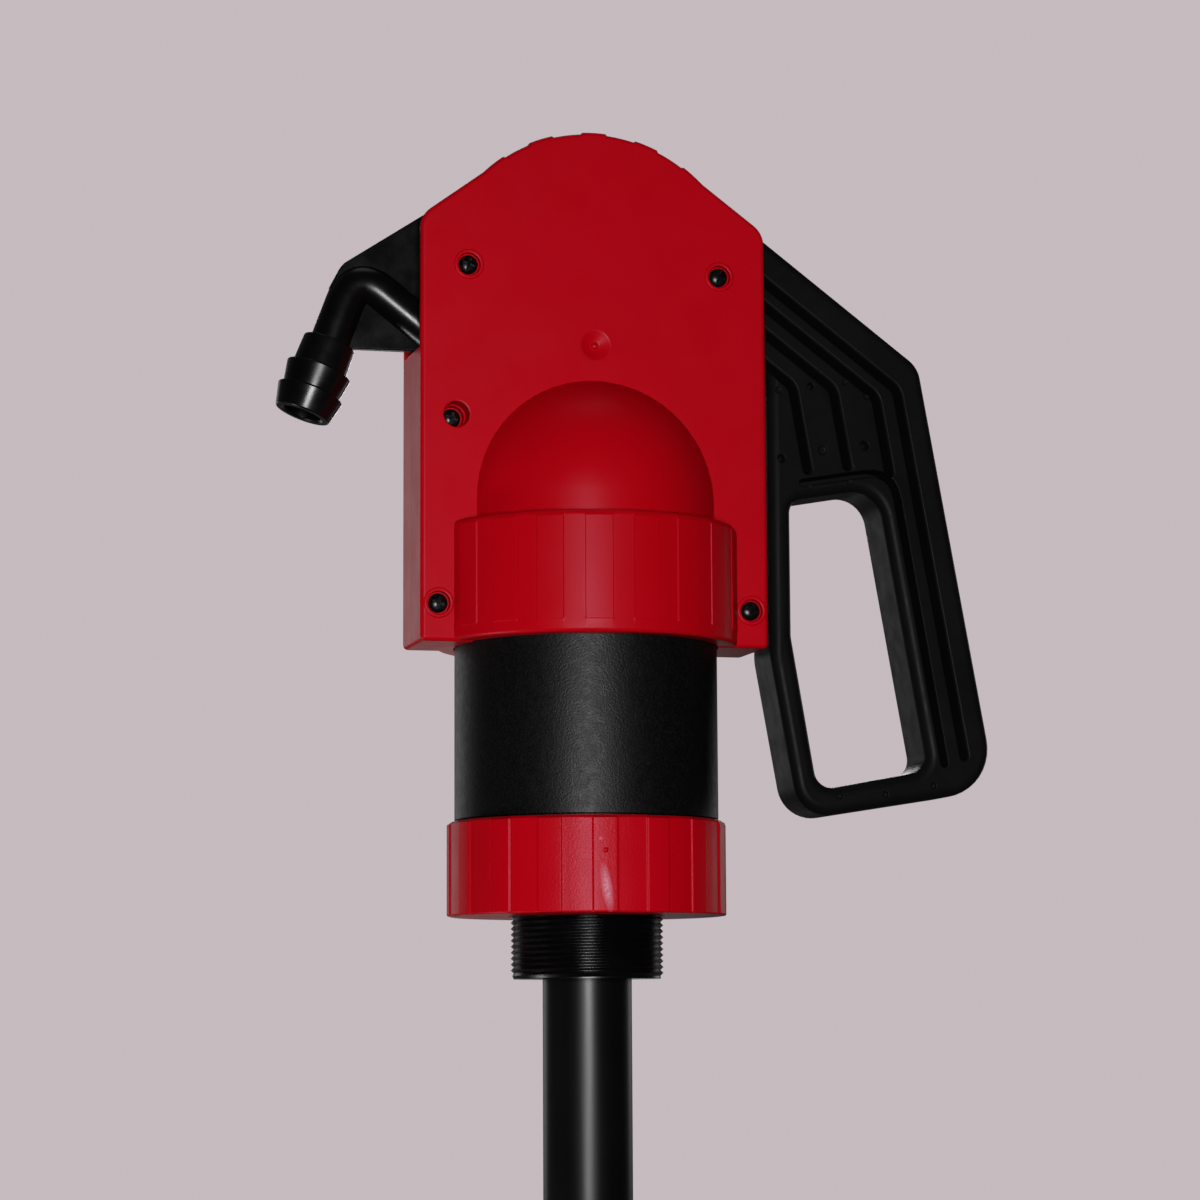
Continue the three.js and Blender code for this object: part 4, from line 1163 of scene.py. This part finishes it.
for piece, material, body, node in (
        (bung_adapter(), BLACK, "pump", "bung_adapter"),
        (inlet_cage(), ACETAL, "pump", "inlet_valve_cage"),
        (washer("tube_ring", TUBE_RADIUS + 0.15, 19.6, -4.2, -1.5, 0.9), RUBBER, "pump", "tube_seal"),
        (peg("inlet_flap", 17.5, 11.3, 13.4, 120, 0.4, 0.4), RUBBER, "inlet_valve", "inlet_valve"),
        (washer("outer_tube", 15.2, TUBE_RADIUS, TUBE_BOTTOM, 1.7, 0.4), PIPE, "pump", "suction_tube"),
        (ferrule(), BLACK, "pump", "tube_ferrule"),
        (lock_collar(), RED, "lock_collar", "lock_collar"),
        (washer("inner_tube", 12, INNER_TUBE_RADIUS, -496, -60, 0.4), PIPE, "lower_tube", "lower_tube"),
        (washer("inner_stop", SLIDE_RADIUS, 14.9, -70, -60, 0.1), ACETAL, "lower_tube", "tube_stop"),
        (foot_strainer(), BLACK, "lower_tube", "foot_strainer")):
    finish_piece(piece, material, body, node)


# ---- camera, floor and light
TUBE_TRAVEL = 0.36
FLOOR_Z = CAD_BOX[0][2] - TUBE_TRAVEL  # low enough for the tube when it is pulled out
BACKGROUND = (0.775, 0.735, 0.75)


def add_camera():
    data = bpy.data.cameras.new("camera")
    data.sensor_width = 36
    data.lens = 99.8
    data.clip_end = 30
    camera = bpy.data.objects.new("camera", data)
    camera.location = (-0.32017, -1.26675, -0.03921)
    camera.rotation_euler = (rad(97.154), rad(0.2975), rad(-14.4007))
    bpy.context.scene.collection.objects.link(camera)
    bpy.context.scene.camera = camera


def area_light(name, place_at, target, size, power):
    data = bpy.data.lights.new(name, "AREA")
    data.shape = "DISK"
    data.size = size
    data.energy = power
    lamp = bpy.data.objects.new(name, data)
    lamp.location = place_at
    lamp.rotation_euler = (Vector(target) - Vector(place_at)).to_track_quat("-Z", "Y").to_euler()
    lamp.visible_camera = False
    bpy.context.scene.collection.objects.link(lamp)


def floor_paper():
    """Pale paper that runs out into the colour of the background, so that no horizon shows."""
    s = Surface("floor_paper", 0.9, specular=0.1)
    s.colour(s.noise(3, 3), srgb(0.80, 0.765, 0.78), srgb(0.81, 0.775, 0.79))
    glow = s.node("Emission", {"Color": srgb(*BACKGROUND)})
    distance = s.node("VectorMath")
    distance.operation = "LENGTH"
    s.link(s.coords, distance.inputs[0])
    mix = s.node("MixShader")
    s.link(s.spread(distance.outputs["Value"], 0.7, 1.0, (0.5, 1.5)), mix.inputs["Fac"])
    s.link(s.shader.outputs["BSDF"], mix.inputs[1])
    s.link(glow.outputs["Emission"], mix.inputs[2])
    s.link(mix.outputs["Shader"], s.tree.nodes["Material Output"].inputs["Surface"])
    return s.material


def add_floor():
    ring = arc((0.0, 0.0), 12000, 0, 360, 96)[:-1]
    floor = new_object("floor", [(x, y, FLOOR_Z / MM - 0.2) for x, y in ring], [tuple(range(96))])
    floor.data.materials.append(floor_paper())
    floor.visible_diffuse = False
    floor.visible_glossy = False


def add_world():
    """A pale room: one even colour behind the object, and a dim light that comes mostly from behind it."""
    world = bpy.data.worlds.new("studio")
    world.use_nodes = True
    tree = world.node_tree
    background = tree.nodes["Background"]
    direction = add_node(tree, "TexCoord")
    split = add_node(tree, "SeparateXYZ")
    fade = add_node(tree, "MapRange", {"From Min": -0.1, "From Max": 0.7, "To Min": 0.02, "To Max": 0.11})
    seen = add_node(tree, "LightPath")
    pick = add_node(tree, "Mix", {"B": 1.0})
    set_inputs(background, {"Color": srgb(*BACKGROUND)})
    tree.links.new(direction.outputs["Generated"], split.inputs["Vector"])
    tree.links.new(split.outputs["Y"], fade.inputs["Value"])
    tree.links.new(seen.outputs["Is Camera Ray"], pick.inputs["Factor"])
    tree.links.new(fade.outputs["Result"], pick.inputs["A"])
    tree.links.new(pick.outputs["Result"], background.inputs["Strength"])
    bpy.context.scene.world = world


add_camera()
add_floor()
add_world()
area_light("flash", (-0.28, -1.31, 0.0), (0, 0, 0.2), 0.4, 13.5)
area_light("rim_left", (-0.65, 1.5, 0.2), (0, 0, 0.1), 0.9, 1.6)
area_light("low_left", (-0.85, 0.2, -0.72), (0, 0, 0.15), 0.25, 3.4)
area_light("rim_right", (1.35, 1.05, 0.2), (0, 0, 0.1), 0.8, 1.3)
area_light("low_back", (0.25, 1.5, -0.1), (0, 0, 0.1), 0.5, 0.25)
area_light("back", (0.5, 2.0, 0.7), (0, 0, 0.1), 0.8, 9.0)
area_light("overhead", (0.1, 0.3, 2.2), (0, 0, 0), 1.2, 1.5)
bpy.context.scene.view_settings.view_transform = "Standard"
